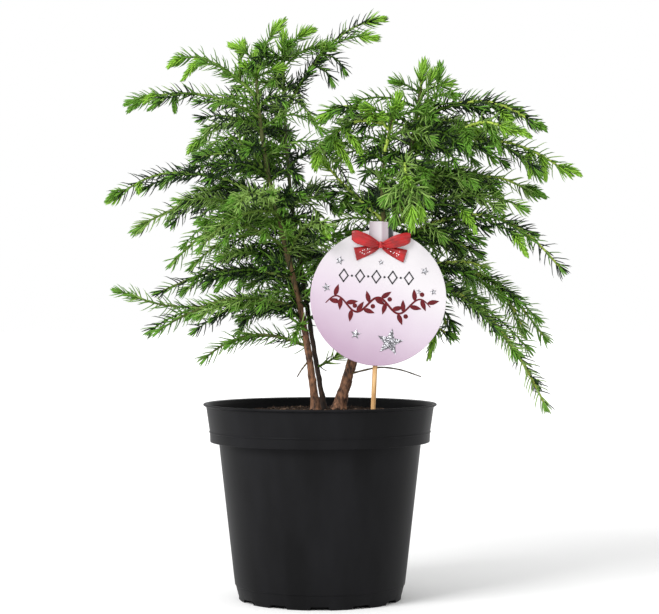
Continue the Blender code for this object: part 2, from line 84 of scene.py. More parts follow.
# Quads of a grid whose point (row, column) has index row * columns + column
def gridFaces(rows, columns, around):
    row, column = np.meshgrid(np.arange(rows - 1), np.arange(columns if around else columns - 1),
                              indexing="ij")
    beside = (column + 1) % columns
    corners = [row * columns + column, row * columns + beside,
               (row + 1) * columns + beside, (row + 1) * columns + column]
    return np.stack(corners, axis=-1).reshape(-1, 4)


# Triangles from a pole to the edges of the ring whose points start at first
def fanFaces(pole, first, around, flip=False):
    here = np.arange(around)
    edge = [first + here, first + (here + 1) % around]
    return np.stack([np.full(around, pole), *(edge[::-1] if flip else edge)], axis=1)


# Faces of a stack of rings whose points are followed by a pole for each end
def closedFaces(rows, around):
    count = rows * around
    return [gridFaces(rows, around, True), fanFaces(count, 0, around, True),
            fanFaces(count + 1, count - around, around)]


# Points and faces of a closed stack of rings, with its foot and head as the poles
def ringSurface(rings, foot, head):
    return np.concatenate([rings.reshape(-1, 3), [foot, head]]), closedFaces(*rings.shape[:2])


# The same faces for each of many shapes whose points follow each other
def repeatFaces(faces, count, size):
    return (faces[None] + size * np.arange(count)[:, None, None]).reshape(-1, faces.shape[1])


# Several surfaces of (points, faces) as one
def joinParts(parts):
    firsts = np.cumsum([0] + [len(points) for points, _ in parts])
    faces = [some + first for first, (_, sets) in zip(firsts, parts) for some in sets]
    return np.concatenate([points for points, _ in parts]), faces


# Direction, level side and upper side of each point of each path, from its differences.
# A steep stretch, whose level side is short, takes its side from another direction
def pathFrames(paths, steep=0.15, other=(0.3, 1.0, 0.0)):
    along = np.gradient(paths, axis=-2)
    along /= np.linalg.norm(along, axis=-1, keepdims=True)
    side = np.cross(upward, along)
    size = np.linalg.norm(side, axis=-1, keepdims=True)
    side = np.where(size < steep, np.cross(np.array(other), along), side)
    side /= np.linalg.norm(side, axis=-1, keepdims=True)
    return along, side, np.cross(along, side)


# Closed tubes: ring point = path point + radius * relief * (cos * side + sin * upper)
def tubeSurface(paths, radii, sides, relief=None):
    count, steps, _ = paths.shape
    along, side, upper = pathFrames(paths)
    angle = ringAngles(sides)
    spoke = np.cos(angle)[:, None] * side[:, :, None] + np.sin(angle)[:, None] * upper[:, :, None]
    uneven = relief(angle, np.arange(steps)[:, None]) if relief else np.ones((steps, sides))
    rings = paths[:, :, None] + (radii[:, :, None] * uneven)[..., None] * spoke
    head = paths[:, -1:] + along[:, -1:] * radii[:, -1:, None]
    points = np.concatenate([rings.reshape(count, -1, 3), paths[:, :1], head], axis=1)
    faces = [repeatFaces(some, count, points.shape[1]) for some in closedFaces(steps, sides)]
    return points.reshape(-1, 3), faces


# Smooth noise about -1 to 1: the sum of sines along random directions, whose
# wavelengths are near the given size; each further layer has half the size and height
def waveNoise(points, size, seed, layers=1):
    waves = dict(count=14, shortest=0.7, longest=1.4, evenBy=5.3)
    draw = np.random.default_rng(seed)
    total = np.zeros(points.shape[:-1])
    for layer in range(layers):
        direction = draw.normal(size=(3, waves["count"]))
        direction /= np.linalg.norm(direction, axis=0)
        length = size * draw.uniform(waves["shortest"], waves["longest"], waves["count"])
        phase = draw.uniform(0, 2 * math.pi, waves["count"])
        wave = direction * 2 * math.pi / length * 2 ** layer
        total += np.sin(points @ wave + phase).sum(axis=-1) / waves["evenBy"] / 2 ** layer
    return total


# Materials

# Linear colour of an sRGB hex value: c/12.92, or ((c + 0.055)/1.055)^2.4 above 0.04045
def fromHex(code):
    parts = [int(code[k:k + 2], 16) / 255 for k in (1, 3, 5)]
    linear = [c / 12.92 if c <= 0.04045 else ((c + 0.055) / 1.055) ** 2.4 for c in parts]
    return (*linear, 1.0)


# Texture scale for a pattern with features of a size in millimetres: 1 / size in metres
def perSize(size):
    return 1 / (size * mm)


# Links into a node's inputs, each from a (node, output) pair
def linkInto(tree, node, links):
    for key, (source, output) in links.items():
        tree.links.new(source.outputs[output], node.inputs[key])


# One node with its settings, its input values and its links from other nodes' outputs.
# The stops of a colour ramp are (place, hex colour) pairs
def addNode(tree, kind, settings=None, values=None, links=None, stops=None):
    node = tree.nodes.new("ShaderNode" + kind)
    for key, value in (settings or {}).items():
        setattr(node, key, value)
    for key, value in (values or {}).items():
        node.inputs[key].default_value = value
    linkInto(tree, node, links or {})
    if stops:
        elements = node.color_ramp.elements
        while len(elements) < len(stops):
            elements.new(0.5)
        for element, (place, code) in zip(elements, stops):
            element.position = place
            element.color = fromHex(code)
    return node


# A new material and its empty tree, with a shader of the given values on the output
def newMaterial(name, values):
    material = bpy.data.materials.new(name)
    material.use_nodes = True
    tree = material.node_tree
    tree.nodes.clear()
    shader = addNode(tree, "BsdfPrincipled", values=values)
    addNode(tree, "OutputMaterial", links={"Surface": (shader, "BSDF")})
    return material, tree, shader


# Stuff of mixed colours: noise picks the colour between two stops and raises a bump.
# Size and depth are in millimetres, and a stretch under 1 draws the pattern out upwards
def makeMottled(name, finish, stops, size, detail, strength, depth, stretch=None, rough=0.5):
    material, tree, shader = newMaterial(name, finish)
    source = (addNode(tree, "TexCoord"), "Object")
    if stretch:
        source = (addNode(tree, "Mapping", values={"Scale": (1.0, 1.0, stretch)},
                          links={"Vector": source}), "Vector")
    mottle = addNode(tree, "TexNoise", links={"Vector": source}, values={
        "Scale": perSize(size), "Detail": detail, "Roughness": rough})
    ramp = addNode(tree, "ValToRGB", links={"Fac": (mottle, "Fac")}, stops=stops)
    bump = addNode(tree, "Bump", values={"Strength": strength, "Distance": depth * mm},
                   links={"Height": (mottle, "Fac")})
    linkInto(tree, shader, {"Base Color": (ramp, "Color"), "Normal": (bump, "Normal")})
    return material


# Peat and bark potting mix: matt, dark brown, with lighter fibres
def makePottingMix():
    look = dict(wet="#17100B", dry="#3B2A1E", crumb=2.4)
    return makeMottled("pottingMix", {"Roughness": 0.95, "Specular IOR Level": 0.25},
                       [(0.35, look["wet"]), (0.72, look["dry"])], look["crumb"], 6.0, 0.6, 0.6,
                       rough=0.7)


# Bamboo skewer: pale tan, with darker fibres that run along it
def makeBamboo():
    look = dict(pale="#D9B27C", fibre="#A9743A", width=0.5)
    return makeMottled("bambooSkewer", {"Roughness": 0.6},
                       [(0.35, look["fibre"]), (0.62, look["pale"])], look["width"], 4.0, 0.4, 0.2,
                       stretch=0.04)


# Flat ink, dry bark or sequin of two near colours, with a fine tooth
def makeInk(name, code, paleCode, size, roughness):
    return makeMottled(name, {"Roughness": roughness, "Specular IOR Level": 0.25},
                       [(0.35, code), (0.7, paleCode)], size, 3.0, 0.4, 0.1)


# Injection-moulded polypropylene: almost black, satin, with a faint flow grain
def makePotPlastic():
    look = dict(dark="#111112", pale="#1A1A1C", flow=26.0, stretch=0.3, grain=0.9, bump=0.06,
                depth=0.4, glossy=0.38, matt=0.5)
    material, tree, shader = newMaterial("blackPolypropylene", {
        "Roughness": 0.44, "Specular IOR Level": 0.06})
    place = addNode(tree, "TexCoord")
    drawn = addNode(tree, "Mapping", values={"Scale": (1.0, 1.0, look["stretch"])},
                    links={"Vector": (place, "Object")})
    flow = addNode(tree, "TexNoise", values={"Scale": perSize(look["flow"]), "Detail": 4.0},
                   links={"Vector": (drawn, "Vector")})
    ramp = addNode(tree, "ValToRGB", links={"Fac": (flow, "Fac")},
                   stops=[(0.35, look["dark"]), (0.7, look["pale"])])
    gloss = addNode(tree, "MapRange", links={"Value": (flow, "Fac")}, values={
        "From Min": 0.3, "From Max": 0.7, "To Min": look["glossy"], "To Max": look["matt"]})
    grain = addNode(tree, "TexNoise", values={"Scale": perSize(look["grain"]), "Detail": 2.0},
                    links={"Vector": (place, "Object")})
    bump = addNode(tree, "Bump", links={"Height": (grain, "Fac")}, values={
        "Strength": look["bump"], "Distance": look["depth"] * mm})
    linkInto(tree, shader, {"Base Color": (ramp, "Color"), "Roughness": (gloss, "Result"),
                            "Normal": (bump, "Normal")})
    return material


# Bark of a young stem: brown and flaky low down, turning olive green towards the leader,
# between two heights in millimetres
def makeBark(name, old, oldPale, young, turnFrom, turnTo):
    look = dict(flake=2.6, stretch=0.4, bump=0.7, depth=0.4)
    material, tree, shader = newMaterial(name, {"Roughness": 0.82})
    place = addNode(tree, "TexCoord")
    drawn = addNode(tree, "Mapping", values={"Scale": (1.0, 1.0, look["stretch"])},
                    links={"Vector": (place, "Object")})
    flake = addNode(tree, "TexNoise", links={"Vector": (drawn, "Vector")}, values={
        "Scale": perSize(look["flake"]), "Detail": 5.0, "Roughness": 0.65})
    brown = addNode(tree, "ValToRGB", links={"Fac": (flake, "Fac")},
                    stops=[(0.38, old), (0.68, oldPale)])
    split = addNode(tree, "SeparateXYZ", links={"Vector": (place, "Object")})
    share = addNode(tree, "MapRange", links={"Value": (split, "Z")}, values={
        "From Min": turnFrom * mm, "From Max": turnTo * mm})
    mix = addNode(tree, "Mix", settings={"data_type": "RGBA"},
                  links={"Factor": (share, "Result"), "A": (brown, "Color")})
    mix.inputs["B"].default_value = fromHex(young)
    bump = addNode(tree, "Bump", links={"Height": (flake, "Fac")}, values={
        "Strength": look["bump"], "Distance": look["depth"] * mm})
    linkInto(tree, shader, {"Base Color": (mix, "Result"), "Normal": (bump, "Normal")})
    return material


# Living leaf or green twig: soft waxy skin with one plain colour, dealt out by spray,
# and a fine unevenness that breaks up its gloss
def makeGreen(name, code, roughness):
    look = dict(wax=3.0, uneven=0.1)
    material, tree, shader = newMaterial(name, {
        "Base Color": fromHex(code), "Roughness": roughness, "Specular IOR Level": 0.2})
    place = addNode(tree, "TexCoord")
    wax = addNode(tree, "TexNoise", values={"Scale": perSize(look["wax"]), "Detail": 2.0},
                  links={"Vector": (place, "Object")})
    gloss = addNode(tree, "MapRange", links={"Value": (wax, "Fac")}, values={
        "From Min": 0.3, "From Max": 0.7, "To Min": roughness - look["uneven"],
        "To Max": roughness + look["uneven"]})
    linkInto(tree, shader, {"Roughness": (gloss, "Result")})
    return material


# Printed card on thin board: satin, near white at its upper right, lilac at its lower
# left, by the share of x / 2 + z about its centre, which a slow cloud moves
def makeBoardPrint(centre, radius):
    look = dict(white="#CAC6C9", middle="#BFB2BE", lilac="#A88FA4", cloud=30.0, drift=0.02,
                speck=0.7, bump=0.05, depth=0.2)
    material, tree, shader = newMaterial("lilacPrintedBoard", {"Roughness": 0.38, "IOR": 1.47})
    place = addNode(tree, "TexCoord")
    centred = addNode(tree, "Mapping", settings={"vector_type": "POINT"},
                      values={"Location": tuple(-c * mm for c in centre)},
                      links={"Vector": (place, "Object")})
    split = addNode(tree, "SeparateXYZ", links={"Vector": (centred, "Vector")})
    across = addNode(tree, "Math", settings={"operation": "MULTIPLY"}, values={1: 0.5},
                     links={0: (split, "X")})
    slope = addNode(tree, "Math", settings={"operation": "ADD"},
                    links={0: (across, "Value"), 1: (split, "Z")})
    cloud = addNode(tree, "TexNoise", values={"Scale": perSize(look["cloud"]), "Detail": 2.0},
                    links={"Vector": (centred, "Vector")})
    drift = addNode(tree, "Math", settings={"operation": "MULTIPLY_ADD"},
                    values={1: look["drift"]}, links={0: (cloud, "Fac"), 2: (slope, "Value")})
    share = addNode(tree, "MapRange", links={"Value": (drift, "Value")}, values={
        "From Min": -radius * mm, "From Max": radius * mm})
    ramp = addNode(tree, "ValToRGB", links={"Fac": (share, "Result")}, stops=[
        (0.12, look["lilac"]), (0.5, look["middle"]), (0.82, look["white"])])
    tooth = addNode(tree, "TexNoise", values={"Scale": perSize(look["speck"]), "Detail": 2.0},
                    links={"Vector": (place, "Object")})
    bump = addNode(tree, "Bump", links={"Height": (tooth, "Fac")}, values={
        "Strength": look["bump"], "Distance": look["depth"] * mm})
    linkInto(tree, shader, {"Base Color": (ramp, "Color"), "Normal": (bump, "Normal")})
    return material


# Silver glitter: flakes about 0.6 mm across, each dark, grey or bright at random; these colours are
# painted glints for the way each one lies
def makeGlitter():
    look = dict(flake=0.62, dark="#4E4D51", grey="#85848A", bright="#E9E9EE", bump=0.6, depth=0.3)
    material, tree, shader = newMaterial("silverGlitter", {"Roughness": 0.35, "Metallic": 0.25})
    place = addNode(tree, "TexCoord")
    flake = addNode(tree, "TexVoronoi", values={"Scale": perSize(look["flake"])},
                    links={"Vector": (place, "Object")})
    split = addNode(tree, "SeparateColor", links={"Color": (flake, "Color")})
    # Painted glints: each flake's random colour makes it dark, grey or bright
    ramp = addNode(tree, "ValToRGB", links={"Fac": (split, "Red")}, stops=[
        (0.3, look["dark"]), (0.7, look["grey"]), (0.9, look["bright"])])
    bump = addNode(tree, "Bump", links={"Height": (split, "Green")}, values={
        "Strength": look["bump"], "Distance": look["depth"] * mm})
    linkInto(tree, shader, {"Base Color": (ramp, "Color"), "Normal": (bump, "Normal")})
    return material


# Satin ribbon: deep red with a soft sheen and a fine rib of weft threads
def makeRibbon():
    look = dict(deep="#82050A", bright="#B0080E", cloud=6.0, thread=0.5, uneven=0.4, bump=0.12,
                depth=0.2)
    material, tree, shader = newMaterial("redSatinRibbon", {
        "Roughness": 0.42, "Sheen Weight": 0.12, "Sheen Roughness": 0.4})
    place = addNode(tree, "TexCoord")
    weft = addNode(tree, "TexWave", settings={"bands_direction": "X"},
                   links={"Vector": (place, "Object")}, values={
                       "Scale": perSize(look["thread"]) / 2 / math.pi,
                       "Distortion": look["uneven"]})
    cloud = addNode(tree, "TexNoise", values={"Scale": perSize(look["cloud"]), "Detail": 2.0},
                    links={"Vector": (place, "Object")})
    ramp = addNode(tree, "ValToRGB", links={"Fac": (cloud, "Fac")},
                   stops=[(0.35, look["deep"]), (0.7, look["bright"])])
    bump = addNode(tree, "Bump", links={"Height": (weft, "Fac")}, values={
        "Strength": look["bump"], "Distance": look["depth"] * mm})
    linkInto(tree, shader, {"Base Color": (ramp, "Color"), "Normal": (bump, "Normal")})
    return material


# Printed foil whose bands, at shares of its width, look like the shine of a round collar
def makeCapFoil(middle, half):
    look = dict(speck=0.6, bump=0.1, depth=0.1, bands=[
        (0.0, "#857D82"), (0.1, "#A0959B"), (0.24, "#B5AAB0"), (0.48, "#C6BFC3"),
        (0.56, "#A5959D"), (0.76, "#B0A4AA"), (0.81, "#252527"), (0.92, "#303032"),
        (0.97, "#737277")])
    material, tree, shader = newMaterial("silverFoilCap", {"Roughness": 0.3, "Metallic": 0.15})
    place = addNode(tree, "TexCoord")
    split = addNode(tree, "SeparateXYZ", links={"Vector": (place, "Object")})
    share = addNode(tree, "MapRange", links={"Value": (split, "X")}, values={
        "From Min": (middle - half) * mm, "From Max": (middle + half) * mm})
    ramp = addNode(tree, "ValToRGB", links={"Fac": (share, "Result")}, stops=look["bands"])
    tooth = addNode(tree, "TexNoise", values={"Scale": perSize(look["speck"]), "Detail": 2.0},
                    links={"Vector": (place, "Object")})
    bump = addNode(tree, "Bump", links={"Height": (tooth, "Fac")}, values={
        "Strength": look["bump"], "Distance": look["depth"] * mm})
    linkInto(tree, shader, {"Base Color": (ramp, "Color"), "Normal": (bump, "Normal")})
    return material


# Camera, light and floor

# Pinhole view: 1.42 m in front of the pot's axis, at leaf height, with a long lens
view = dict(place=(6.7, -1420.0, 218.0), lens=109.7, sensor=36.0, downward=0.485,
            clipNear=0.05, clipFar=60.0)


# The camera looks along the depth, turned down by a small angle
def makeCamera():
    data = bpy.data.cameras.new("camera")
    data.sensor_fit = "HORIZONTAL"
    data.sensor_width = view["sensor"]
    data.lens = view["lens"]
    data.clip_start = view["clipNear"]
    data.clip_end = view["clipFar"]
    camera = bpy.data.objects.new("camera", data)
    camera.location = tuple(c * mm for c in view["place"])
    camera.rotation_euler = (math.radians(90 - view["downward"]), 0.0, 0.0)
    bpy.context.scene.collection.objects.link(camera)
    bpy.context.scene.camera = camera


# White room: an even sky, and a square softbox high on the left, turned to its aim
def makeStudio():
    light = dict(sky=1.0, place=(-1050, -1100, 1200), aim=(0, 0, 200), size=800, power=30.0)
    world = bpy.data.worlds.new("whiteRoom")
    world.use_nodes = True
    sky = world.node_tree.nodes["Background"]
    sky.inputs["Color"].default_value = (1.0, 1.0, 1.0, 1.0)
    sky.inputs["Strength"].default_value = light["sky"]
    bpy.context.scene.world = world
    bpy.context.scene.view_settings.view_transform = "Standard"
    data = bpy.data.lights.new("keySoftbox", "AREA")
    data.shape = "SQUARE"
    data.size = light["size"] * mm
    data.energy = light["power"]
    lamp = bpy.data.objects.new("keySoftbox", data)
    away = np.array(light["place"], float) - np.array(light["aim"], float)
    lamp.location = tuple(c * mm for c in light["place"])
    lamp.rotation_euler = (math.atan2(math.hypot(away[0], away[1]), away[2]), 0.0,
                           math.atan2(away[0], -away[1]))
    bpy.context.scene.collection.objects.link(lamp)


# Level unit spokes to the points of a ring
def levelSpokes(count):
    angle = ringAngles(count)
    return np.stack([np.cos(angle), np.sin(angle), 0 * angle], axis=1)


# Pale floor: a disc far wider than the view. Its glow grows with the distance in metres
# from the pot, so that it meets the white room without a line
def makeFloor():
    look = dict(radius=9000.0, sides=96, pale="#F2F2F2", glowFrom=0.45, glowTo=1.6, glow=0.35)
    material, tree, shader = newMaterial("paleStudioFloor", {
        "Base Color": fromHex(look["pale"]), "Roughness": 0.9, "Specular IOR Level": 0.1,
        "Emission Color": (1.0, 1.0, 1.0, 1.0)})
    place = addNode(tree, "TexCoord")
    away = addNode(tree, "VectorMath", settings={"operation": "LENGTH"},
                   links={0: (place, "Object")})
    glow = addNode(tree, "MapRange", links={"Value": (away, "Value")}, values={
        "From Min": look["glowFrom"], "From Max": look["glowTo"], "To Max": look["glow"]})
    linkInto(tree, shader, {"Emission Strength": (glow, "Result")})
    points = np.concatenate([look["radius"] * levelSpokes(look["sides"]), [[0, 0, 0]]])
    faces = fanFaces(look["sides"], 0, look["sides"])
    floor = putMesh("studioFloor", points, [faces], material, smooth=False)


makeCamera()
makeStudio()
makeFloor()
print("camera, light and floor made")


# Stems

# Places and sizes of the stems, as in the solids
stems = {
    "left": dict(foot=(-2.8, -6, 134), tip=(-45, -8, 372), bow=(-1.6, -2), sway=3.0,
                 footRadius=2.7, tipRadius=1.0, flare=0.55, seed=1),
    "middle": dict(foot=(3.0, 6, 134), tip=(-26, 13, 386), bow=(-6, 3), sway=1.0,
                   footRadius=1.9, tipRadius=0.9, flare=0.4, seed=2),
    "right": dict(foot=(13.0, 3, 134), tip=(71.5, 6, 362), bow=(5, 2), sway=-1.4,
                  footRadius=4.1, tipRadius=1.2, flare=0.45, seed=3),
    "fork": dict(foot=(46.6, 3.0, 256), tip=(52, -15, 342), bow=(-5, -2), sway=0.0,
                 footRadius=1.6, tipRadius=0.9, flare=0.0, seed=4),
}
flareHeight = 5.0


# Centre of a stem at heights: a straight lean + a bow 4s(1 - s) + a slight S sin(2 pi s)
def stemCentre(stem, heights):
    size = stems[stem]
    foot, tip = np.array(size["foot"], float), np.array(size["tip"], float)
    share = ((np.asarray(heights, float) - foot[2]) / (tip[2] - foot[2]))[..., None]
    place = foot + (tip - foot) * share
    bend = 4 * share * (1 - share)
    place[..., :1] += size["bow"][0] * bend + size["sway"] * np.sin(2 * math.pi * share)
    place[..., 1:2] += size["bow"][1] * bend
    return place


# Radius of a stem at heights: a straight taper, widened near the foot by a root flare
def stemRadius(stem, heights):
    size = stems[stem]
    rise = heights - size["foot"][2]
    share = rise / (size["tip"][2] - size["foot"][2])
    straight = size["footRadius"] + (size["tipRadius"] - size["footRadius"]) * share
    return straight * (1 + size["flare"] * np.exp(-rise / flareHeight))


# Bark surface of one stem: level rings about its centre, radius + flaking relief
# + scars of old whorls + needle cushions that grow stronger up the stem
def stemSurface(stem):
    bark = dict(sink=3.0, rings=420, around=44, flake=0.10, flakeSize=3.2, flakeStretch=0.35,
                scar=0.06, scarEvery=13.0, scarWide=0.9, scarTilt=1.5, cushion=0.10,
                cushionsAround=5, cushionTwist=1.1, cushionRate=2.2, greenFrom=230, greenOver=90)
    size = stems[stem]
    heights = np.linspace(size["foot"][2] - bark["sink"], size["tip"][2], bark["rings"])[:, None]
    angle = ringAngles(bark["around"])
    centre = stemCentre(stem, heights)
    radius = stemRadius(stem, np.maximum(heights, size["foot"][2]))
    spokes = levelSpokes(bark["around"])
    plain = centre + radius[..., None] * spokes
    flakes = waveNoise(plain * [1, 1, bark["flakeStretch"]], bark["flakeSize"], size["seed"], 3)
    phase = (heights + bark["scarTilt"] * np.sin(angle + size["seed"])) / bark["scarEvery"]
    scars = np.exp(-((phase - np.round(phase)) * bark["scarEvery"] / bark["scarWide"]) ** 2)
    green = np.clip((heights - bark["greenFrom"]) / bark["greenOver"], 0, 1)
    turn = bark["cushionsAround"] * angle + heights * bark["cushionTwist"]
    cushions = np.maximum(0, np.cos(turn)) * np.maximum(0, np.cos(heights * bark["cushionRate"]))
    relief = (bark["flake"] * flakes * (1 - 0.6 * green) + bark["scar"] * scars
              + bark["cushion"] * cushions * green)
    rings = centre + (radius * (1 + relief))[..., None] * spokes
    return ringSurface(rings, centre[0, 0], centre[-1, 0] + size["tipRadius"] * upward)


# All four stems; the middle one has darker bark, painted shade, as it stands behind the others
def makeStems():
    brown = makeBark("flakyStemBark", "#24130C", "#966A4C", "#4A4E22", 190, 285)
    # Darker copy of the bark for the middle stem: painted shade
    dark = makeBark("paintedShadeStemBark", "#150E0A", "#4A3528", "#3E4620", 190, 285)
    for stem in stems:
        addPiece(stem + "Stem", stemSurface(stem), dark if stem == "middle" else brown,
                 ["stem_" + stem])
    print("stems made")


# Boughs, twigs and needles

# Rows as in the solids: stem, height on it, heading in degrees (0 right, 90 back, 180 left,
# 270 front), reach, lift of the arc's control point, fall of the tip. A bough's name is
# its family and its number there
boughFamilies = {
    "left": [("left", 352, 172, 64, 40, 25), ("left", 339, 186, 94, 30, 8),
             ("left", 301, 196, 49, 18, 5), ("left", 278, 184, 118, 43, 3),
             ("left", 262, 172, 107, 43, -7), ("left", 247, 193, 80, 37, -12),
             ("left", 225, 177, 93, 18, -9), ("left", 205, 190, 101, 20, -16),
             ("left", 178, 180, 75, 20, -9)],
    "top": [("middle", 345, -6, 72, 72, 63)],
    "front": [("left", 266, 250, 76, 34, 8), ("left", 243, 296, 62, 28, 18),
              ("right", 290, 271, 78, 31, -3)],
    "back": [("middle", 318, 112, 82, 34, 8), ("middle", 268, 134, 108, 38, 2),
             ("middle", 234, 84, 110, 30, -8), ("right", 322, 74, 84, 32, 4),
             ("right", 276, 96, 112, 36, 0), ("right", 240, 52, 112, 38, -14)],
    "inner": [("fork", 330, 184, 50, 30, 4), ("right", 262, 174, 52, 22, 52)],
    "right": [("right", 338, -4, 89, 28, -6), ("right", 316, -7, 114, 25, -16),
              ("right", 271, 9, 102, 50, 13), ("right", 243, -6, 126, 60, -9),
              ("right", 218, 10, 127, 43, -34), ("right", 204, -9, 125, 56, -66),
              ("right", 186, -12, 63, 19, 0)],
}
# Side boughs fork from the bough whose name is theirs without its last letter: where
# along it, then heading to fall as above
sideBoughs = {
    "left_1b": (0.28, 75, 8, 12, 27), "left_3b": (0.08, 160, 42, 34, 17),
    "left_6b": (0.21, 160, 54, 0, -20), "left_8b": (0.26, 168, 97, -12, 3),
    "front_1b": (0.12, 215, 60, 6, -26), "back_1b": (0.26, 158, 66, 22, -6),
    "back_3b": (0.26, 130, 78, 8, -24), "back_4b": (0.30, 32, 66, 18, -10),
    "back_6b": (0.26, 96, 84, 8, -20), "inner_1b": (0.10, 170, 48, 12, -26),
    "right_1b": (0.38, 24, 52, 6, -8), "right_2b": (0.25, -46, 56, 20, 2),
    "right_4b": (0.20, 18, 52, -2, -20), "right_5b": (0.21, -16, 52, 12, 2),
    "right_5c": (0.47, 2, 42, 2, -42), "right_6b": (0.23, 26, 30, -6, -36),
}
# Boughs that end in a closed young bud; the others end in open needles
budTipped = {"left_1", "left_1b", "left_2", "left_4", "left_5", "top_1", "front_3", "inner_1",
             "inner_1b", "inner_2", "right_1", "right_1b", "right_2", "right_2b", "right_3",
             "right_4b", "back_1", "back_4", "back_4b"}
beyondTip = dict(bud=4.0, open=0.5)  # how far the solid goes on past an axis's tip
# How each tree grows: needle length and width, needles a millimetre of twig, their angle
# from the twig, the length of a young bud, the twig's radius, how far twigs hang and how
# far apart they stand
habits = {
    "left": dict(needle=12.2, width=1.04, dense=0.86, spread=62, bud=13.0, thick=1.0,
                 droop=0.14, every=17.5),
    "right": dict(needle=13.2, width=1.12, dense=0.76, spread=64, bud=17.0, thick=1.15,
                  droop=0.24, every=13.5),
}
habitOf = {"left": "left", "middle": "left", "right": "right", "fork": "right"}
# Smaller boughs of the same tiers, which fill the crown: stem, lowest and highest height
# on it, step between tiers, boughs a tier, heading of their fan and its width in degrees,
# shortest and longest reach
innerTiers = [
    ("left", 192, 362, 17, 4, 0, 360, 30, 56),
    ("left", 196, 300, 20, 2, 150, 90, 50, 84),
    ("middle", 206, 296, 18, 4, 0, 360, 30, 56),
    ("middle", 298, 380, 15, 4, 165, 210, 26, 46),
    ("middle", 216, 320, 30, 2, 90, 150, 54, 84),
    ("right", 226, 286, 12, 4, 0, 360, 32, 60),
    ("right", 308, 352, 12, 4, 0, 360, 30, 54),
    ("right", 214, 290, 24, 2, 20, 110, 62, 96),
    ("right", 318, 330, 18, 3, 20, 110, 50, 70),
    ("fork", 276, 332, 15, 3, 0, 360, 24, 42),
    ("right", 286, 302, 12, 2, 0, 96, 58, 84),
]
# Shoots round each leader: stem, rise of the leader's own tuft, arms, reach of the arms
leaders = [("left", 8, 3, 24), ("middle", 13, 5, 28), ("right", 15, 2, 22), ("fork", 10, 4, 22)]
# Shoots at the crown's top, in front of it and low on the stems, by the tree they belong
# to: their green, the length of their closed bud and 1 for a fresh one, then foot, bend
# and tip. The foot moves to the nearest point of a limb
loneShoots = {
    "left": [
        (1, 15, 1, (-43, -8, 366), (-46, -9, 386), (-60, -11, 389)),
        (1, 15, 1, (-44, -8, 368), (-40, -8, 394), (-27, -9, 405)),
        (1, 12, 1, (-26, 12, 380), (-20, 12, 398), (-7, 10, 402)),
        (1, 12, 1, (-25, 12, 376), (-10, 12, 396), (7, 9, 390)),
        (1, 12, 1, (0, 9, 381), (18, 8, 402), (38, 6, 397)),
        (0, 4, 0, (-6, 10, 375), (4, 9, 379), (8, 9, 366)),
        (0, 4, 0, (2, 9, 384), (13, 9, 386), (17, 8, 374)),
        (1, 4, 0, (-126, 8, 214), (-134, 8, 215), (-143, 8, 217)),
    ],
    "right": [
        (1, 8, 0, (68, 5, 324), (82, 5, 338), (85, 5, 375)),
        (2, 14, 1, (71, 6, 350), (77, 5, 362), (80, 4, 371)),
        (2, 12, 1, (59, -62, 287), (62, -76, 282), (62, -72, 262)),
        (1, 6, 0, (59, -60, 287), (54, -72, 282), (50, -71, 264)),
        (1, 10, 1, (59, -58, 288), (67, -70, 285), (68, -69, 268)),
        (2, 6, 0, (59, -64, 287), (66, -74, 288), (73, -70, 277)),
        (2, 6, 0, (58, -62, 287), (50, -72, 288), (44, -69, 278)),
        (2, 14, 0, (2, 5, 164), (8, 2, 168), (16, 0, 174)),
    ],
}
# Young shoots that show in the front view, as (x, z) of foot and tip there; each grows
# from the nearest bough, and 1 marks a fresh one
youngShoots = [
    (-95, 381, -106, 376, 1), (-86, 370, -96, 367, 1), (-115, 358, -123, 351, 1),
    (-119, 355, -134, 345, 0), (-104, 355, -102, 345, 0), (-79, 327, -83, 321, 0),
    (-0, 316, -4, 306, 1), (-128, 295, -128, 288, 1), (-141, 292, -149, 282, 0),
    (42, 348, 35, 338, 1), (43, 347, 46, 339, 1), (20, 349, 22, 342, 0),
    (13, 349, 4, 338, 0), (17, 318, 22, 303, 1), (25, 318, 30, 312, 1),
    (-4, 318, -3, 304, 1), (67, 335, 70, 319, 1), (117, 333, 127, 316, 0),
    (112, 330, 114, 319, 1), (139, 332, 147, 327, 1), (152, 310, 159, 297, 1),
    (145, 309, 148, 299, 1), (174, 310, 182, 300, 1), (153, 341, 158, 332, 0),
    (148, 295, 158, 284, 0), (-49, 278, -52, 265, 1), (-17, 273, -12, 263, 1),
    (48, 285, 52, 273, 1), (18, 285, 15, 273, 0), (78, 179, 77, 171, 1),
]
# Bare, dead twigs as points
deadTwigs = [
    [(-6, -7, 170), (-9, -8, 167), (-13, -9, 162), (-16, -10, 157)],
    [(19, 3, 158), (26, 0, 160), (42, -3, 164), (57, -5, 162), (71, -6, 157)],
    [(-10, -7, 186), (-16, -12, 184), (-22, -16, 178)],
]
pathSteps = 28
pathShare = np.linspace(0, 1, pathSteps)[:, None]
crestAt = 0.55  # place of an arc's control point along its reach
# Radius of a twig, its taper to the tip, and how much slimmer a side twig is
twig = dict(foot=1.25, taper=0.65, slim=0.7, perPiece=400, boughSides=8, sides=6)


# Quadratic arc: (1-s)^2 foot + 2s(1-s) crest + s^2 tip
def arcThrough(foot, crest, tip):
    share = pathShare
    return (1 - share) ** 2 * foot + 2 * share * (1 - share) * crest + share ** 2 * tip


# Level unit vector at a turn: (cos, sin, 0)
def levelVector(turn):
    return np.array([math.cos(turn), math.sin(turn), 0.0])


# Arc in the upright plane of a heading
def arcFrom(foot, heading, reach, lift, fall):
    outward = levelVector(math.radians(heading))
    return arcThrough(foot, foot + outward * reach * crestAt + upward * lift,
                      foot + outward * reach + upward * fall)


# Point and direction at a share of a path, by straight steps between its points
def pathAt(path, share):
    place = share * (len(path) - 1)
    low = min(int(place), len(path) - 2)
    along = path[low + 1] - path[low]
    return path[low] + along * (place - low), along / np.linalg.norm(along)


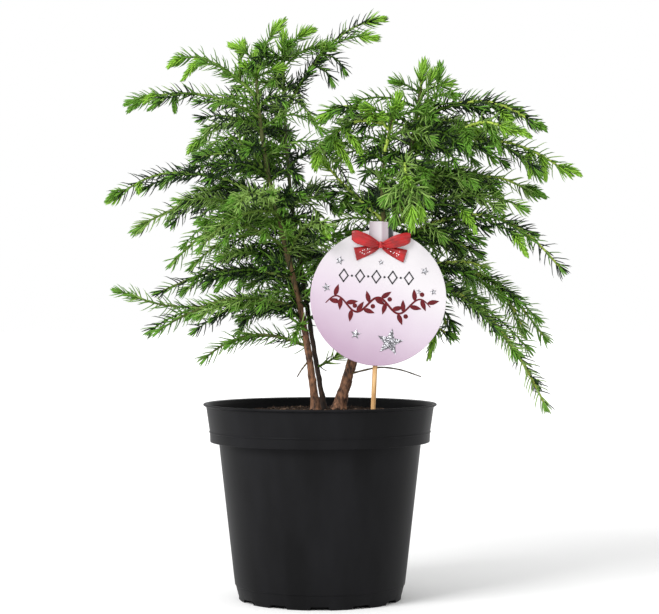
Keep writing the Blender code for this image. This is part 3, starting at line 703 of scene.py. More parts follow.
# Points of a path at places, which are numbers on the scale of its own places
def resample(path, own, places):
    return np.stack([np.interp(places, own, path[:, k]) for k in range(3)], axis=1)


# Length of each path: the sum of its steps
def pathLength(paths):
    return np.linalg.norm(np.diff(paths, axis=-2), axis=-1).sum(axis=-1)


# A path with a slow wander that grows from nothing at its foot
def wander(path, height, seed):
    drift = np.stack([waveNoise(path, 60.0, seed + k) for k in range(3)], axis=-1)
    return path + height * pathShare * (drift - drift[:1])


# Whether points keep clear of the holiday pick: a disc and a cap with room for the bow
def clearOfPick(points):
    room = dict(x=41.0, z=214.0, radius=53.0, behind=-32.0, ahead=-50.0)
    away = np.hypot(points[..., 0] - room["x"], points[..., 2] - room["z"])
    depth = points[..., 1]
    return ~((away < room["radius"]) & (depth < room["behind"]) & (depth > room["ahead"]))


# Twig off a bough: it leaves at an angle to one side, swings in to run beside the bough
# and droops by the square of its share
def twigPath(bough, at, side, angle, length, droop):
    swing = dict(share=0.3, fall=0.15, leastLevel=0.2)
    point, along = pathAt(bough, at)
    level = np.cross(upward, along)
    level /= max(np.linalg.norm(level), swing["leastLevel"])
    leave = along * math.cos(angle) + level * side * math.sin(angle)
    onward = (along - upward * swing["fall"]) * swing["share"]
    turned = leave * (pathShare - swing["share"] * pathShare ** 2) + onward * pathShare ** 2
    return point + length * turned - upward * droop * length * pathShare ** 2


# A bough's axis ends before its solid's tip, where the closed needles go on; its points
# are spread evenly again
def cutShort(name, path):
    run = np.concatenate([[0], np.cumsum(np.linalg.norm(np.diff(path, axis=0), axis=1))])
    end = run[-1] - beyondTip["bud" if name in budTipped else "open"]
    return resample(path, run, np.linspace(0, end, pathSteps))


# Every main and side bough, as the solids have them, with a slight wander
def mainBoughs():
    paths = {}
    for family, rows in boughFamilies.items():
        for number, (stem, height, *arc) in enumerate(rows):
            name = family + "_" + str(number + 1)
            path = wander(arcFrom(stemCentre(stem, height), *arc), 1.6, 10 * len(paths))
            paths[name] = (cutShort(name, path), stem)
    for seed, (name, (at, *arc)) in enumerate(sideBoughs.items()):
        path, stem = paths[name[:-1]]
        path = wander(arcFrom(pathAt(path, at)[0], *arc), 1.2, 500 + 10 * seed)
        paths[name] = (cutShort(name, path), stem)
    return paths


# Every leafy shoot as a path with its tree's habit, its order of branching, a green
# (0 dark green of painted shade, 1 leaf, 2 pale green of painted light), the length of the
# closed bud at its tip and whether that is fresh
def growShoots():
    # dark sets the share of the painted-shade green near a bough's foot and pale the share of the
    # painted-light green; boughTones and tierTones deal these greens by bough and by tier
    rule = dict(firstAt=0.08, lastAt=0.62, angle=37.0, share=0.62, least=20.0, longest=58.0,
                topLongest=24.0, fresh=0.3, freshFrom=190, freshOver=110, dark=0.5, pale=0.15,
                budFrom=0.6, budTo=0.97, golden=137.5, longTier=60,
                boughTones=dict(left=[0.25, 0.6, 0.15], right=[0.12, 0.43, 0.45]),
                tierTones=[0.45, 0.4, 0.15])
    draw = np.random.default_rng(7)
    limbs = mainBoughs()
    shoots = []

    # A shoot is kept when the whole of it is clear of the pick
    def addShoot(path, habit, level, tone, bud, fresh, start=0.0):
        if clearOfPick(path).all():
            shoots.append(dict(path=path, habit=habit, level=level, tone=tone, bud=bud,
                               fresh=fresh, start=start))

    # Young shoots near a bough's tip, closed from foot to tip, that lean aside and hang
    def addBuds(path, habit, count, freshChance):
        for index in range(count):
            at = draw.uniform(rule["budFrom"], rule["budTo"])
            length = habits[habit]["bud"] * draw.uniform(0.75, 1.2)
            droop = habits[habit]["droop"] * draw.uniform(1.2, 3.0)
            bud = twigPath(path, at, 1 if index % 2 else -1, draw.uniform(0.35, 0.8), length, droop)
            addShoot(bud, habit, 3, 1, length * 0.95, draw.random() < freshChance)

    # Twigs in turn to the left and right along a bough, shorter towards its tip
    def addTwigs(path, habit, freshChance, longest=rule["longest"]):
        length = pathLength(path)
        run = rule["lastAt"] - rule["firstAt"]
        count = int(run * length / habits[habit]["every"])
        for index in range(count):
            at = rule["firstAt"] + run * (index + draw.uniform(0, 0.6)) / count
            size = length * rule["share"] * (1.05 - at) * draw.uniform(0.7, 1.15)
            size = np.clip(size, rule["least"], longest)
            angle = math.radians(rule["angle"] + draw.uniform(-10, 10))
            droop = habits[habit]["droop"] + draw.uniform(0, 0.18)
            twig = twigPath(path, at, 1 if index % 2 else -1, angle, size, droop)
            # Painted shade: twigs nearer the bough's foot, inside the crown, more often take the
            # dark green
            paintedShadeChance = rule["dark"] * (1 - at) + 0.12
            bud = draw.uniform(2, 5)
            tone = draw.choice(3, p=[paintedShadeChance, 1 - rule["pale"] - paintedShadeChance, rule["pale"]])
            addShoot(twig, habit, 2, tone, bud, False, 0.04)
            if draw.random() < 0.8 * freshChance:
                addBuds(twig, habit, 1, 0.6)

    for name, (path, stem) in limbs.items():
        habit = habitOf[stem]
        height = (path[0, 2] - rule["freshFrom"]) / rule["freshOver"]
        freshChance = rule["fresh"] * np.clip(height, 0, 1)
        tones = rule["boughTones"][habit]
        # Front boughs take the pale green of painted light; other boughs deal out the greens by
        # tree
        tone = 2 if name.startswith("front") else draw.choice(3, p=tones)
        budded = name in budTipped
        bud = draw.uniform(8, 12) if budded else 3.0
        fresh = budded and draw.random() < 0.5
        addShoot(path, habit, 1, tone, bud, fresh or name == "top_1", 0.02)
        addTwigs(path, habit, freshChance, rule["topLongest" if name == "top_1" else "longest"])
        if name.startswith("back"):
            addBuds(path, habit, 2, freshChance)
    for stem, low, high, step, count, towards, fan, least, most in innerTiers:
        for tier, height in enumerate(np.arange(low, high, step)):
            turn = towards - fan / 2 + (rule["golden"] * tier if fan == 360 else 0)
            for index in range(count):
                heading = turn + fan * (index + draw.uniform(0.1, 0.9)) / count
                reach = draw.uniform(least, most)
                foot = stemCentre(stem, height + draw.uniform(-3, 3))
                lift = reach * draw.uniform(0.25, 0.5)
                path = arcFrom(foot, heading, reach, lift, reach * draw.uniform(-0.2, 0.2))
                # Inner tiers mostly take the dark green of painted shade
                tone = draw.choice(3, p=rule["tierTones"])
                addShoot(path, habitOf[stem], 2, tone, draw.uniform(2, 6), False, 0.04)
                if reach > rule["longTier"]:
                    addTwigs(path, habitOf[stem], 0.1)
    addLeaders(addShoot, draw)
    addLoneShoots(addShoot, [shoot["path"] for shoot in shoots])
    addYoungShoots(addShoot, limbs)
    print("shoots grown:", len(shoots))
    return shoots


# A straight tuft on each stem's tip, and arms that rise round it and bend over
def addLeaders(addShoot, draw):
    arm = dict(below=30, foot=5, outward=0.9, onward=0.6, bend=0.25, bud=8.0, fresh=0.3)
    for stem, rise, count, spread in leaders:
        top = np.array(stems[stem]["tip"], float)
        lean = top - stemCentre(stem, top[2] - 20)
        lean /= np.linalg.norm(lean)
        tuft = top - arm["below"] * lean + pathShare * lean * (rise + arm["below"])
        addShoot(tuft, habitOf[stem], 1, 1, 12.0, True)
        for index in range(count):
            turn = 2 * math.pi * (index + draw.uniform(-0.2, 0.2)) / count
            size = spread * draw.uniform(0.8, 1.2)
            onward = arm["outward"] * levelVector(turn) + arm["onward"] * lean
            bent = pathShare * onward - arm["bend"] * pathShare ** 2 * upward
            addShoot(top - arm["foot"] * lean + size * bent, habitOf[stem], 2, 1, arm["bud"],
                     draw.random() < arm["fresh"])


# Lone shoots from the nearest point of the limbs and stems
def addLoneShoots(addShoot, limbs):
    for stem, size in stems.items():
        limbs.append(stemCentre(stem, np.linspace(size["foot"][2], size["tip"][2], 200)))
    limbs = np.concatenate(limbs)
    for habit, rows in loneShoots.items():
        for tone, bud, fresh, *points in rows:
            foot, crest, tip = np.array(points, float)
            near = np.argmin(np.linalg.norm(limbs - foot, axis=1))
            addShoot(arcThrough(limbs[near], crest, tip), habit, 2, tone, bud, bool(fresh), 0.1)


# Young shoots from the bough point nearest to each foot in the front view, where a
# point's offset from the lens axis shrinks by distance / (distance + depth)
def addYoungShoots(addShoot, boughPaths):
    young = dict(nearer=4, bulge=0.16, depthWeight=0.02)
    eyeX, eyeY, eyeZ = view["place"]
    points = np.concatenate([path for path, _ in boughPaths.values()])
    habit = [habitOf[stem] for path, stem in boughPaths.values() for _ in path]
    shrink = eyeY / (eyeY - points[:, 1])
    seenX = eyeX + (points[:, 0] - eyeX) * shrink
    seenZ = eyeZ + (points[:, 2] - eyeZ) * shrink
    for footX, footZ, tipX, tipZ, fresh in youngShoots:
        away = np.hypot(seenX - footX, seenZ - footZ) + young["depthWeight"] * points[:, 1]
        near = int(np.argmin(away))
        foot = points[near]
        tip = np.array([eyeX + (tipX - eyeX) / shrink[near], foot[1] - young["nearer"],
                        eyeZ + (tipZ - eyeZ) / shrink[near]])
        size = np.linalg.norm(tip - foot)
        path = arcThrough(foot, (foot + tip) / 2 + upward * young["bulge"] * size, tip)
        addShoot(path, habit[near], 3, 1, size, bool(fresh))


# Bare dead twigs: thin tubes along smoothed paths through their points
def makeDeadTwigs():
    dead = dict(foot=0.75, tip=0.4, smoothing=6, sides=8, size=1.2)
    paths = []
    for row in deadTwigs:
        path = resample(np.array(row, float), np.arange(len(row)), len(row[1:]) * pathShare[:, 0])
        for _ in range(dead["smoothing"]):
            path[1:-1] = (path[:-2] + 2 * path[1:-1] + path[2:]) / 4
        paths.append(path)
    radii = np.tile(np.linspace(dead["foot"], dead["tip"], pathSteps), (len(paths), 1))
    surface = tubeSurface(np.stack(paths), radii, dead["sides"],
                          lambda angle, step: 1 + 0.12 * np.cos(2 * angle + 1.7 * step))
    bark = makeInk("dryTwigBark", "#3A2E20", "#665A3C", dead["size"], 0.85)
    addPiece("deadTwigs", surface, bark)


# Tapering twigs under the needles: radius from foot to tip, with the small cushions
# that needles leave, as a raised spiral
def makeTwigs(shoots):
    olive = makeBark("oliveTwigBark", "#3E3E18", "#5C6A28", "#5E7A26", 190, 280)
    young = makeGreen("greenTwigSkin", "#4C6C22", 0.55)
    lit = makeBark("limeTwigBark", "#6E7A28", "#9CAC42", "#A2BA48", 190, 280)
    pieces = []
    for name, tree, bark in (("boughAxesLeft", "left", olive), ("boughAxesRight", "right", lit)):
        some = [shoot for shoot in shoots if shoot["level"] == 1 and shoot["habit"] == tree]
        pieces.append((name, some, 1.0, twig["boughSides"], bark, "bough_bark", boughNodes))
    others = [shoot for shoot in shoots if shoot["level"] > 1]
    for part, first in enumerate(range(0, len(others), twig["perPiece"])):
        some = others[first:first + twig["perPiece"]]
        pieces.append(("twigAxes" + str(part + 1), some, twig["slim"], twig["sides"], young,
                       "needles", foliageNodes))
    for name, some, scale, sides, material, slotName, nodes in pieces:
        thick = np.array([habits[shoot["habit"]]["thick"] for shoot in some]) * scale
        radii = thick[:, None] * (twig["foot"] - twig["taper"] * pathShare[:, 0])
        surface = tubeSurface(np.stack([shoot["path"] for shoot in some]), radii, sides,
                              lambda angle, step: 1 + 0.16 * np.cos(3 * angle + 2.4 * step))
        addPiece(name, surface, material, nodes)
    print("twigs made")


# Where each needle stands and points. Needles follow the golden angle round their twig,
# leave it at the spread angle, and lie close, short and dense in the closed bud
def placeNeedles(shoots):
    rule = dict(golden=137.508, budDense=2.6, budShare=0.4, closed=9, tipBend=20, tipRun=16.0,
                stray=6, reach=[1.0, 0.95, 0.62], sunk=0.55)
    draw = np.random.default_rng(11)
    paths = np.stack([shoot["path"] for shoot in shoots])
    lengths = pathLength(paths)
    habit = {key: np.array([habits[shoot["habit"]][key] for shoot in shoots])
             for key in habits["left"]}
    start, level, bud = (np.array([shoot[key] for shoot in shoots])
                         for key in ("start", "level", "bud"))
    size = np.where(level == 1, 1.0, twig["slim"])
    bud = np.where(level < 3, np.minimum(bud, rule["budShare"] * lengths), bud)
    along, side, upper = pathFrames(paths)

    # Shares of the twig for even needles from its start, and for the bud's extra ones
    counts = (lengths * (1 - start) * habit["dense"]).astype(int)
    rows = [(n, 0.0) for n in counts] + [(n, 0.5) for n in (bud * rule["budDense"]).astype(int)]
    owner = np.repeat(np.tile(np.arange(len(shoots)), 2), [n for n, _ in rows])
    order = np.concatenate([np.arange(n) + shift for n, shift in rows])
    rank = np.concatenate([(np.arange(n) + 0.5) / max(n, 1) for n, _ in rows])
    inBud = np.arange(len(owner)) >= counts.sum()
    share = np.where(inBud, 1 - (bud / lengths)[owner] * (1 - rank),
                     start[owner] + (1 - start[owner]) * rank)
    share = np.clip(share + draw.normal(0, 0.004, len(owner)), 0, 1)

    place = share * (pathSteps - 1)
    low = np.minimum(place.astype(int), pathSteps - 2)
    part = (place - low)[:, None]
    point = paths[owner, low] * (1 - part) + paths[owner, low + 1] * part
    along = along[owner, low] * (1 - part) + along[owner, low + 1] * part
    turn = order * math.radians(rule["golden"]) + draw.normal(0, 0.25, len(owner)) + owner
    outward = (np.cos(turn)[:, None] * side[owner, low]
               + np.sin(turn)[:, None] * upper[owner, low])
    opened = np.clip((1 - share) * lengths[owner] / bud[owner], 0, 1)
    toTip = np.clip((1 - share) * lengths[owner] / rule["tipRun"], 0, 1)
    angle = rule["closed"] + (habit["spread"][owner] - rule["closed"]) * opened ** 0.8
    angle -= rule["tipBend"] * (1 - toTip) * opened
    angle = np.radians(angle + draw.normal(0, rule["stray"], len(owner)))
    length = habit["needle"][owner] * (0.62 + 0.38 * opened ** 0.6)
    length *= draw.uniform(0.8, 1.14, len(owner)) * (0.82 + 0.18 * toTip ** 0.7)
    length *= np.choose(level - 1, rule["reach"])[owner]
    thick = habit["thick"][owner] * (twig["foot"] - twig["taper"] * share) * size[owner]
    leave = np.cos(angle)[:, None] * along + np.sin(angle)[:, None] * outward
    kept = clearOfPick(point) & clearOfPick(point + length[:, None] * leave)
    needles = dict(point=point + rule["sunk"] * thick[:, None] * outward, leave=leave,
                   along=along, length=length[:, None], owner=owner, opened=opened,
                   width=(habit["width"][owner] * (1.0 + 0.35 * (1 - opened)))[:, None])
    return {key: value[kept] for key, value in needles.items()}


# Needle surface: the middle line is point + length * (u leave + bend u^2 (along - leave));
# three corners at each of three stations and a point at the tip
def needleSurface(needles):
    blade = dict(stations=((0.0, 1.35), (0.25, 1.05), (0.75, 0.78)),  # (u, share of the width)
                 bend=0.24, half=0.5, keel=0.55)
    leave, width = needles["leave"], needles["width"]
    flat = np.cross(leave, needles["along"])
    flat /= np.maximum(np.linalg.norm(flat, axis=1, keepdims=True), 1e-6)
    keel = np.cross(flat, leave)

    # Middle line at u
    def middle(u):
        bent = u * leave + blade["bend"] * u ** 2 * (needles["along"] - leave)
        return needles["point"] + needles["length"] * bent

    corners = []
    for u, wide in blade["stations"]:
        side = flat * width * wide * blade["half"]
        corners += [middle(u) - side, middle(u) + side,
                    middle(u) - keel * width * wide * blade["keel"]]
    points = np.stack([*corners, middle(1.0)], axis=1)
    faces = [(0, 2, 1)]
    for k in range(3):
        after = (k + 1) % 3
        for low in (0, 3):
            faces += [(low + k, low + 3 + after, low + 3 + k),
                      (low + k, low + after, low + 3 + after)]
        faces.append((6 + k, 6 + after, 9))
    faces = repeatFaces(np.array(faces), len(leave), points.shape[1])
    return points.reshape(-1, 3), [faces]


# Needles dealt out by spray into five greens, each piece under the triangle limit
def makeNeedles(shoots):
    # The first green is painted shade for the crown's inside, the third is painted light for lit
    # sprays, and the rest are the needles' own greens
    greens = [("needlesPaintedShade", "paintedShadeNeedleGreen", "#11270C"),
              ("needlesLeaf", "needleGreen", "#567F28"),
              ("needlesPaintedLight", "paintedLightNeedleGreen", "#80A04F"),
              ("needlesTip", "budGreen", "#5C8C2C"),
              ("needlesFresh", "freshShootGreen", "#7EAC36")]
    deal = dict(perPiece=12000, stray=0.15, budOpened=0.7, budShare=0.7, freshOpened=0.9,
                freshShare=0.9)
    draw = np.random.default_rng(23)
    needles = placeNeedles(shoots)
    owner, opened = needles["owner"], needles["opened"]
    tone = np.array([shoot["tone"] for shoot in shoots])[owner]
    fresh = np.array([shoot["fresh"] for shoot in shoots])[owner]
    chance = draw.random(len(owner))
    kind = np.where(chance < deal["stray"], (tone + 1) % 3, tone)
    kind = np.where((opened < deal["budOpened"]) & (chance < deal["budShare"]), 3, kind)
    freshHere = fresh & (opened < deal["freshOpened"]) & (chance < deal["freshShare"])
    kind = np.where(freshHere, 4, kind)
    for index, (name, materialName, code) in enumerate(greens):
        material = makeGreen(materialName, code, 0.5)
        chosen = np.nonzero(kind == index)[0]
        for part, first in enumerate(range(0, len(chosen), deal["perPiece"])):
            some = chosen[first:first + deal["perPiece"]]
            surface = needleSurface({key: value[some] for key, value in needles.items()})
            addPiece(name + str(part + 1), surface, material, foliageNodes)
    print("needles made:", len(owner))


makeStems()
shoots = growShoots()
makeTwigs(shoots)
makeDeadTwigs()
makeNeedles(shoots)


# Pot and soil

pot = dict(height=138.0, rimRadius=82.5, rimThick=1.5, collarTop=80.2, collarFoot=77.6,
           collarZ=111.0, beadZ=118.2, bead=0.5, bodyTop=71.5, bodyFoot=60.2, stepZ=10.3,
           step=0.6, base=57.5, wall=1.6, notches=12, notchWidth=14.0, notchHeight=2.4,
           notchDepth=5.0, around=360, sharp=35)
soil = dict(top=133.7, edgeTop=129.0, plateau=34.0, depth=14.0)


# Quarter round of a pot's profile: centre + radius * (cos, sin)
def roundCorner(x, z, radius, fromAngle, toAngle, count=5):
    angles = np.radians(np.linspace(fromAngle, toAngle, count))
    return [(x + radius * math.cos(a), z + radius * math.sin(a)) for a in angles]


# Pot: its profile of (radius, height) from the middle of the underside, up the outside
# and down the inside, goes round the upright axis
def makePot():
    base, step, stepZ, wall = pot["base"], pot["step"], pot["stepZ"], pot["wall"]
    height, bodyFoot, bodyTop = pot["height"], pot["bodyFoot"], pot["bodyTop"]
    collarZ, collarFoot, collarTop = pot["collarZ"], pot["collarFoot"], pot["collarTop"]
    beadZ, lip, rim = pot["beadZ"], pot["rimThick"] / 2, pot["rimRadius"] - pot["rimThick"] / 2
    inner, lift = base - pot["notchDepth"], pot["notchHeight"]
    slope = (bodyTop - bodyFoot) / (collarZ - stepZ)
    bodyZ = stepZ + 0.7 + (collarZ - 1.2 - stepZ) * np.linspace(0.08, 1, 14)
    share = np.linspace(0.15, 1, 6)
    collarX = collarFoot + 0.3 + (collarTop - collarFoot - 0.3) * share
    profile = np.array([
        (0, 1.2), (40, 1.2), (48, 1.0), (49.5, 0.0), (inner, 0.0), (inner + 0.1, 0.0),
        *roundCorner(base - 0.8, 0.8, 0.8, -90, -8),
        (base + 0.05 * (lift + 0.1), lift + 0.15),
        (bodyFoot - step - 0.1, stepZ - 0.5), (bodyFoot - step, stepZ),
        (bodyFoot - 0.1, stepZ + 0.3), (bodyFoot, stepZ + 0.7),
        *zip(bodyFoot + slope * (bodyZ - stepZ), bodyZ),
        *roundCorner(bodyTop + 0.6, collarZ - 0.6, 0.6, 180, 90, 4),
        *roundCorner(collarFoot - 0.5, collarZ + 0.5, 0.5, -90, 0, 4),
        (collarFoot + 0.25, beadZ - 0.7),
        *roundCorner(collarFoot + 0.3, beadZ, pot["bead"], -70, 70),
        (collarFoot + 0.35, beadZ + 0.7),
        *zip(collarX, beadZ + (height - 3.6 - beadZ) * share),
        (collarTop + 0.3, height - 2.4), (rim, height - 2 * lip),
        *roundCorner(rim, height - lip, lip, -70, 90, 7),
        (collarTop - 0.4, height - 0.5), (collarTop - 1.4, height - 2.2),
        (collarTop - wall, height - 3.6), (collarFoot - wall, collarZ + 3.0),
        (bodyTop - wall, collarZ + wall), (base - wall + 0.8, 6.0), (base - wall, 3.0), (0, 3.0)])
    radius, rise = profile[1:-1, :1], profile[1:-1, 1:]
    angle = ringAngles(pot["around"])

    # Foot of the wall lifted to the notch height wherever the angle is inside a notch
    pitch = 2 * math.pi / pot["notches"]
    half = math.asin(pot["notchWidth"] / 2 / base)
    apart = np.abs((angle + math.pi / 2 + pitch / 2) % pitch - pitch / 2)
    inNotch = np.clip((half - apart) / 0.006, 0, 1)
    inReach = (radius > inner + 0.05) & (rise < lift)
    rise = rise + np.where(inReach, (lift - rise) * inNotch, 0)
    rings = radius[..., None] * levelSpokes(pot["around"]) + rise[..., None] * upward
    surface = ringSurface(rings, profile[0, 1] * upward, profile[-1, 1] * upward)
    addPiece("nurseryPot", surface, makePotPlastic(), ["pot"], sharp=pot["sharp"])
    print("pot made")


# Height of the soil at points: a low plateau round the stems that sinks to the wall
def soilHeight(x, y):
    wide = pot["collarFoot"] - soil["plateau"]
    share = np.clip((np.hypot(x, y) - soil["plateau"]) / wide, 0, 1)
    return soil["top"] - 0.6 - (soil["top"] - soil["edgeTop"]) * share ** 1.2


# Soil: rings whose height is soilHeight + coarse and fine noise, with a skirt and a flat
# underside, and the crumbs and chips that lie on it
def makeSoil():
    grain = dict(coarse=14.0, coarseHigh=0.54, fine=3.4, fineHigh=0.33, rows=110, around=400)
    mix = makePottingMix()
    chip = makeInk("weatheredBarkChip", "#3A2C22", "#6B5646", 1.5, 0.9)
    low = (soil["edgeTop"] - soil["depth"]) * upward
    radius = np.linspace(0.6, pot["collarFoot"] - pot["wall"] + 0.6, grain["rows"])
    flat = radius[:, None, None] * levelSpokes(grain["around"])
    rise = soilHeight(flat[..., 0], flat[..., 1])
    rise += grain["coarseHigh"] * waveNoise(flat, grain["coarse"], 31, 2)
    rise += grain["fineHigh"] * waveNoise(flat, grain["fine"], 32, 3)
    top = (flat + rise[..., None] * upward)[::-1]
    skirt = top[:1] * [1, 1, 0] + low
    rings = np.concatenate([skirt * [0.02, 0.02, 1], skirt, top])
    addPiece("soilBed", ringSurface(rings, low, rise[0].mean() * upward), mix,
             ["soil"])
    makeCrumbs("soilCrumbs", 2600, (0.5, 1.9), mix, 41, 0.75)
    makeCrumbs("barkChips", 420, (0.8, 2.6), chip, 42, 0.35)
    print("soil made")


# Lumps strewn on the soil: six-cornered stones, stretched, turned and half sunk
def makeCrumbs(name, count, sizes, material, seed, flatness):
    draw = np.random.default_rng(seed)
    away = (pot["collarFoot"] - pot["wall"] - 2.5) * np.sqrt(draw.random(count))
    turn = draw.uniform(0, 2 * math.pi, count)
    x, y = away * np.cos(turn), away * np.sin(turn)
    size = sizes[0] + (sizes[1] - sizes[0]) * draw.random(count) ** 2.2
    corners = np.array([(1, 0, 0), (0, 1, 0), (-1, 0, 0), (0, -1, 0), (0, 0, 1), (0, 0, -1)])
    shape = corners * draw.uniform(0.6, 1.3, (count, 6, 1)) + draw.normal(0, 0.12, (count, 6, 3))
    shape *= np.array([1.0, 0.8, flatness]) * size[:, None, None]
    spin = draw.uniform(0, 2 * math.pi, count)[:, None]
    cos, sin = np.cos(spin), np.sin(spin)
    turned = np.stack([shape[..., 0] * cos - shape[..., 1] * sin,
                       shape[..., 0] * sin + shape[..., 1] * cos, shape[..., 2]], axis=-1)
    points = turned + np.stack([x, y, soilHeight(x, y) + 0.25 * size], axis=-1)[:, None, :]
    faces = np.array([(0, 1, 4), (1, 2, 4), (2, 3, 4), (3, 0, 4),
                      (1, 0, 5), (2, 1, 5), (3, 2, 5), (0, 3, 5)])
    surface = points.reshape(-1, 3), [repeatFaces(faces, count, 6)]
    addPiece(name, surface, material, smooth=False)


makePot()
makeSoil()


# Holiday pick

pick = dict(centre=(40.2, -40.0, 212.6), radius=46.7, thick=2.0, lean=2.6, capWidth=17.0,
            capRise=5.6, capCrown=0.8, stickRadius=1.65, stickTop=12.0, stickFoot=-132.0)
boardFace = pick["thick"] / 2
printLift = 0.02  # gap between the board and what lies on it
inkThick = 0.12


# Place on the pick: across, towards the viewer and up, measured along its own lean
def onPick(across, forward, raised):
    across, forward, raised = np.broadcast_arrays(across, forward, raised)
    cos, sin = math.cos(math.radians(pick["lean"])), math.sin(math.radians(pick["lean"]))
    return np.stack([pick["centre"][0] + across * cos + raised * sin,
                     pick["centre"][1] - forward,
                     pick["centre"][2] + raised * cos - across * sin], axis=-1)


# Board: its outline shrunk to a pole on each face, with an eased edge between
def makeBoard():
    board = dict(around=240, ease=0.25, sharp=40)
    angle = ringAngles(board["around"])
    x, z = pick["radius"] * np.sin(angle), pick["radius"] * np.cos(angle)
    cap = pick["radius"] + pick["capRise"] - pick["capCrown"] * (2 * x / pick["capWidth"]) ** 2
    z = np.where((np.abs(x) < pick["capWidth"] / 2) & (z > 0), cap, z)
    share = np.array([0.5, 0.9, 0.994, 1.0, 1.0, 0.994, 0.5])[:, None]
    eased = boardFace - board["ease"]
    forward = np.array([boardFace] * 3 + [eased, -eased] + [-boardFace] * 2)[:, None]
    surface = ringSurface(onPick(share * x, forward, share * z), onPick(0, boardFace, 0),
                          onPick(0, -boardFace, 0))
    addPiece("pickBoard", surface, makeBoardPrint(pick["centre"], pick["radius"]),
             ["pick_board"], sharp=board["sharp"])


# Flat shape cut from an outline, laid on the board as a thin plate. An outline that runs
# clockwise, whose area sum of x dz - z dx is negative, is turned round first
def plate(outline, forward, thick, crown=0.0):
    count = len(outline)
    onward = np.roll(outline, -1, axis=0)
    if (outline[:, 0] * onward[:, 1] - outline[:, 1] * onward[:, 0]).sum() < 0:
        outline = outline[::-1]
    x, z = outline.T
    points = [onPick(x, forward + thick, z), onPick(x, forward, z),
              onPick([x.mean()], forward + thick + crown, z.mean()),
              onPick([x.mean()], forward, z.mean())]
    rim = gridFaces(2, count, True)[:, ::-1]
    return np.concatenate(points), [rim, fanFaces(2 * count, 0, count),
                                    fanFaces(2 * count + 1, count, count, True)]


# Outline of a disc about a place
def disc(radius, place, count=12):
    angle = ringAngles(count)
    return radius * np.stack([np.sin(angle), np.cos(angle)], axis=1) + place


# Five-pointed stars: the radius alternates between outer and inner, from a turn in degrees
def makeStars():
    look = dict(inner=0.43, thick=0.25, crown=0.14)
    stars = [(-27.7, 24.5, 3.3, 12), (0.8, 24.5, 2.0, -8), (31.0, 19.7, 2.9, 20),
             (-36.0, 5.7, 3.2, -15), (27.4, 5.5, 1.7, 10), (37.6, 5.7, 2.2, -12),
             (-14.4, -25.5, 3.7, 8), (9.3, -30.1, 9.5, 8)]
    parts = []
    for x, z, radius, turn in stars:
        angle = math.radians(turn) + ringAngles(10)
        reach = radius * np.tile([1, look["inner"]], 5)
        outline = np.stack([x + reach * np.sin(angle), z + reach * np.cos(angle)], axis=1)
        parts.append(plate(outline, boardFace + printLift, look["thick"], look["crown"] * radius))
    addPiece("glitterStars", joinParts(parts), makeGlitter(), smooth=False)


# Row of hollow charcoal diamonds with dots between, across the board's upper half
def makeDiamonds():
    row = dict(count=5, pitch=11.2, shift=-2.0, wide=3.0, high=4.2, line=0.9, raised=14.4, dot=0.8)
    corners = np.array([(0, row["high"]), (row["wide"], 0), (0, -row["high"]), (-row["wide"], 0)])
    outlines = []
    for index in range(row["count"]):
        x = (index - (row["count"] - 1) / 2) * row["pitch"] + row["shift"]
        for start, end in zip(corners, np.roll(corners, -1, axis=0)):
            reach = (end - start) / np.linalg.norm(end - start) * row["line"] / 2
            beside = np.array([-reach[1], reach[0]])
            outlines.append(np.array([start - reach - beside, end + reach - beside,
                                      end + reach + beside, start - reach + beside])
                            + [x, row["raised"]])
        if index < row["count"] - 1:
            outlines.append(disc(row["dot"], [x + row["pitch"] / 2, row["raised"]]))
    parts = [plate(outline, boardFace + printLift, inkThick) for outline in outlines]
    ink = makeInk("charcoalInk", "#2B2B2D", "#454548", 0.8, 0.55)
    addPiece("charcoalDiamonds", joinParts(parts), ink, smooth=False)


# Winding garland with leaves and berries across the board's middle: its stalk is
# raised + wave * sin, and a leaf stands on each side in turn
def makeGarland():
    vine = dict(half=36.0, waves=2.5, wave=5.2, raised=-5.0, line=1.5, steps=121, leaves=18,
                leaf=8.6, leafWide=3.3, leafTurn=58, leafCrown=0.1, berry=1.6, berryOff=3.4,
                berryThick=0.14, berryCrown=0.2)
    face = boardFace + printLift
    share = np.linspace(0, 1, vine["steps"])
    x = vine["half"] * (2 * share - 1)
    z = vine["raised"] + vine["wave"] * np.sin(2 * math.pi * vine["waves"] * share)
    stalk = np.stack([x, z], axis=1)
    slope = np.arctan2(np.gradient(z), np.gradient(x))
    beside = np.stack([-np.sin(slope), np.cos(slope)], axis=1)
    wide = vine["line"] * (0.35 + 0.65 * np.sin(math.pi * share) ** 0.5) / 2
    upper, lower = stalk + wide[:, None] * beside, stalk - wide[:, None] * beside
    parts = [plate(np.array([upper[k], upper[k + 1], lower[k + 1], lower[k]]), face, inkThick)
             for k in range(vine["steps"] - 1)]
    u = np.linspace(0, 1, 9)
    belly = np.sin(math.pi * u ** 0.8) * vine["leafWide"] / 2
    for index in range(vine["leaves"]):
        at = int(4 + index * (vine["steps"] - 9) / (vine["leaves"] - 1))
        side = 1 if index % 2 else -1
        along = levelVector(slope[at] + side * math.radians(vine["leafTurn"]))[:2]
        across = belly[:, None] * np.array([-along[1], along[0]])
        edge = u[:, None] * vine["leaf"] * along + stalk[at]
        outline = np.concatenate([edge + across, (edge - across)[::-1][1:-1]])
        parts.append(plate(outline, face, inkThick, vine["leafCrown"]))
        if index % 3 == 1:
            outline = disc(vine["berry"], stalk[at] - side * vine["berryOff"] * beside[at])
            parts.append(plate(outline, face, vine["berryThick"], vine["berryCrown"]))
    ink = makeInk("darkRedInk", "#48030A", "#640A14", 1.2, 0.5)
    addPiece("redGarland", joinParts(parts), ink, smooth=False)


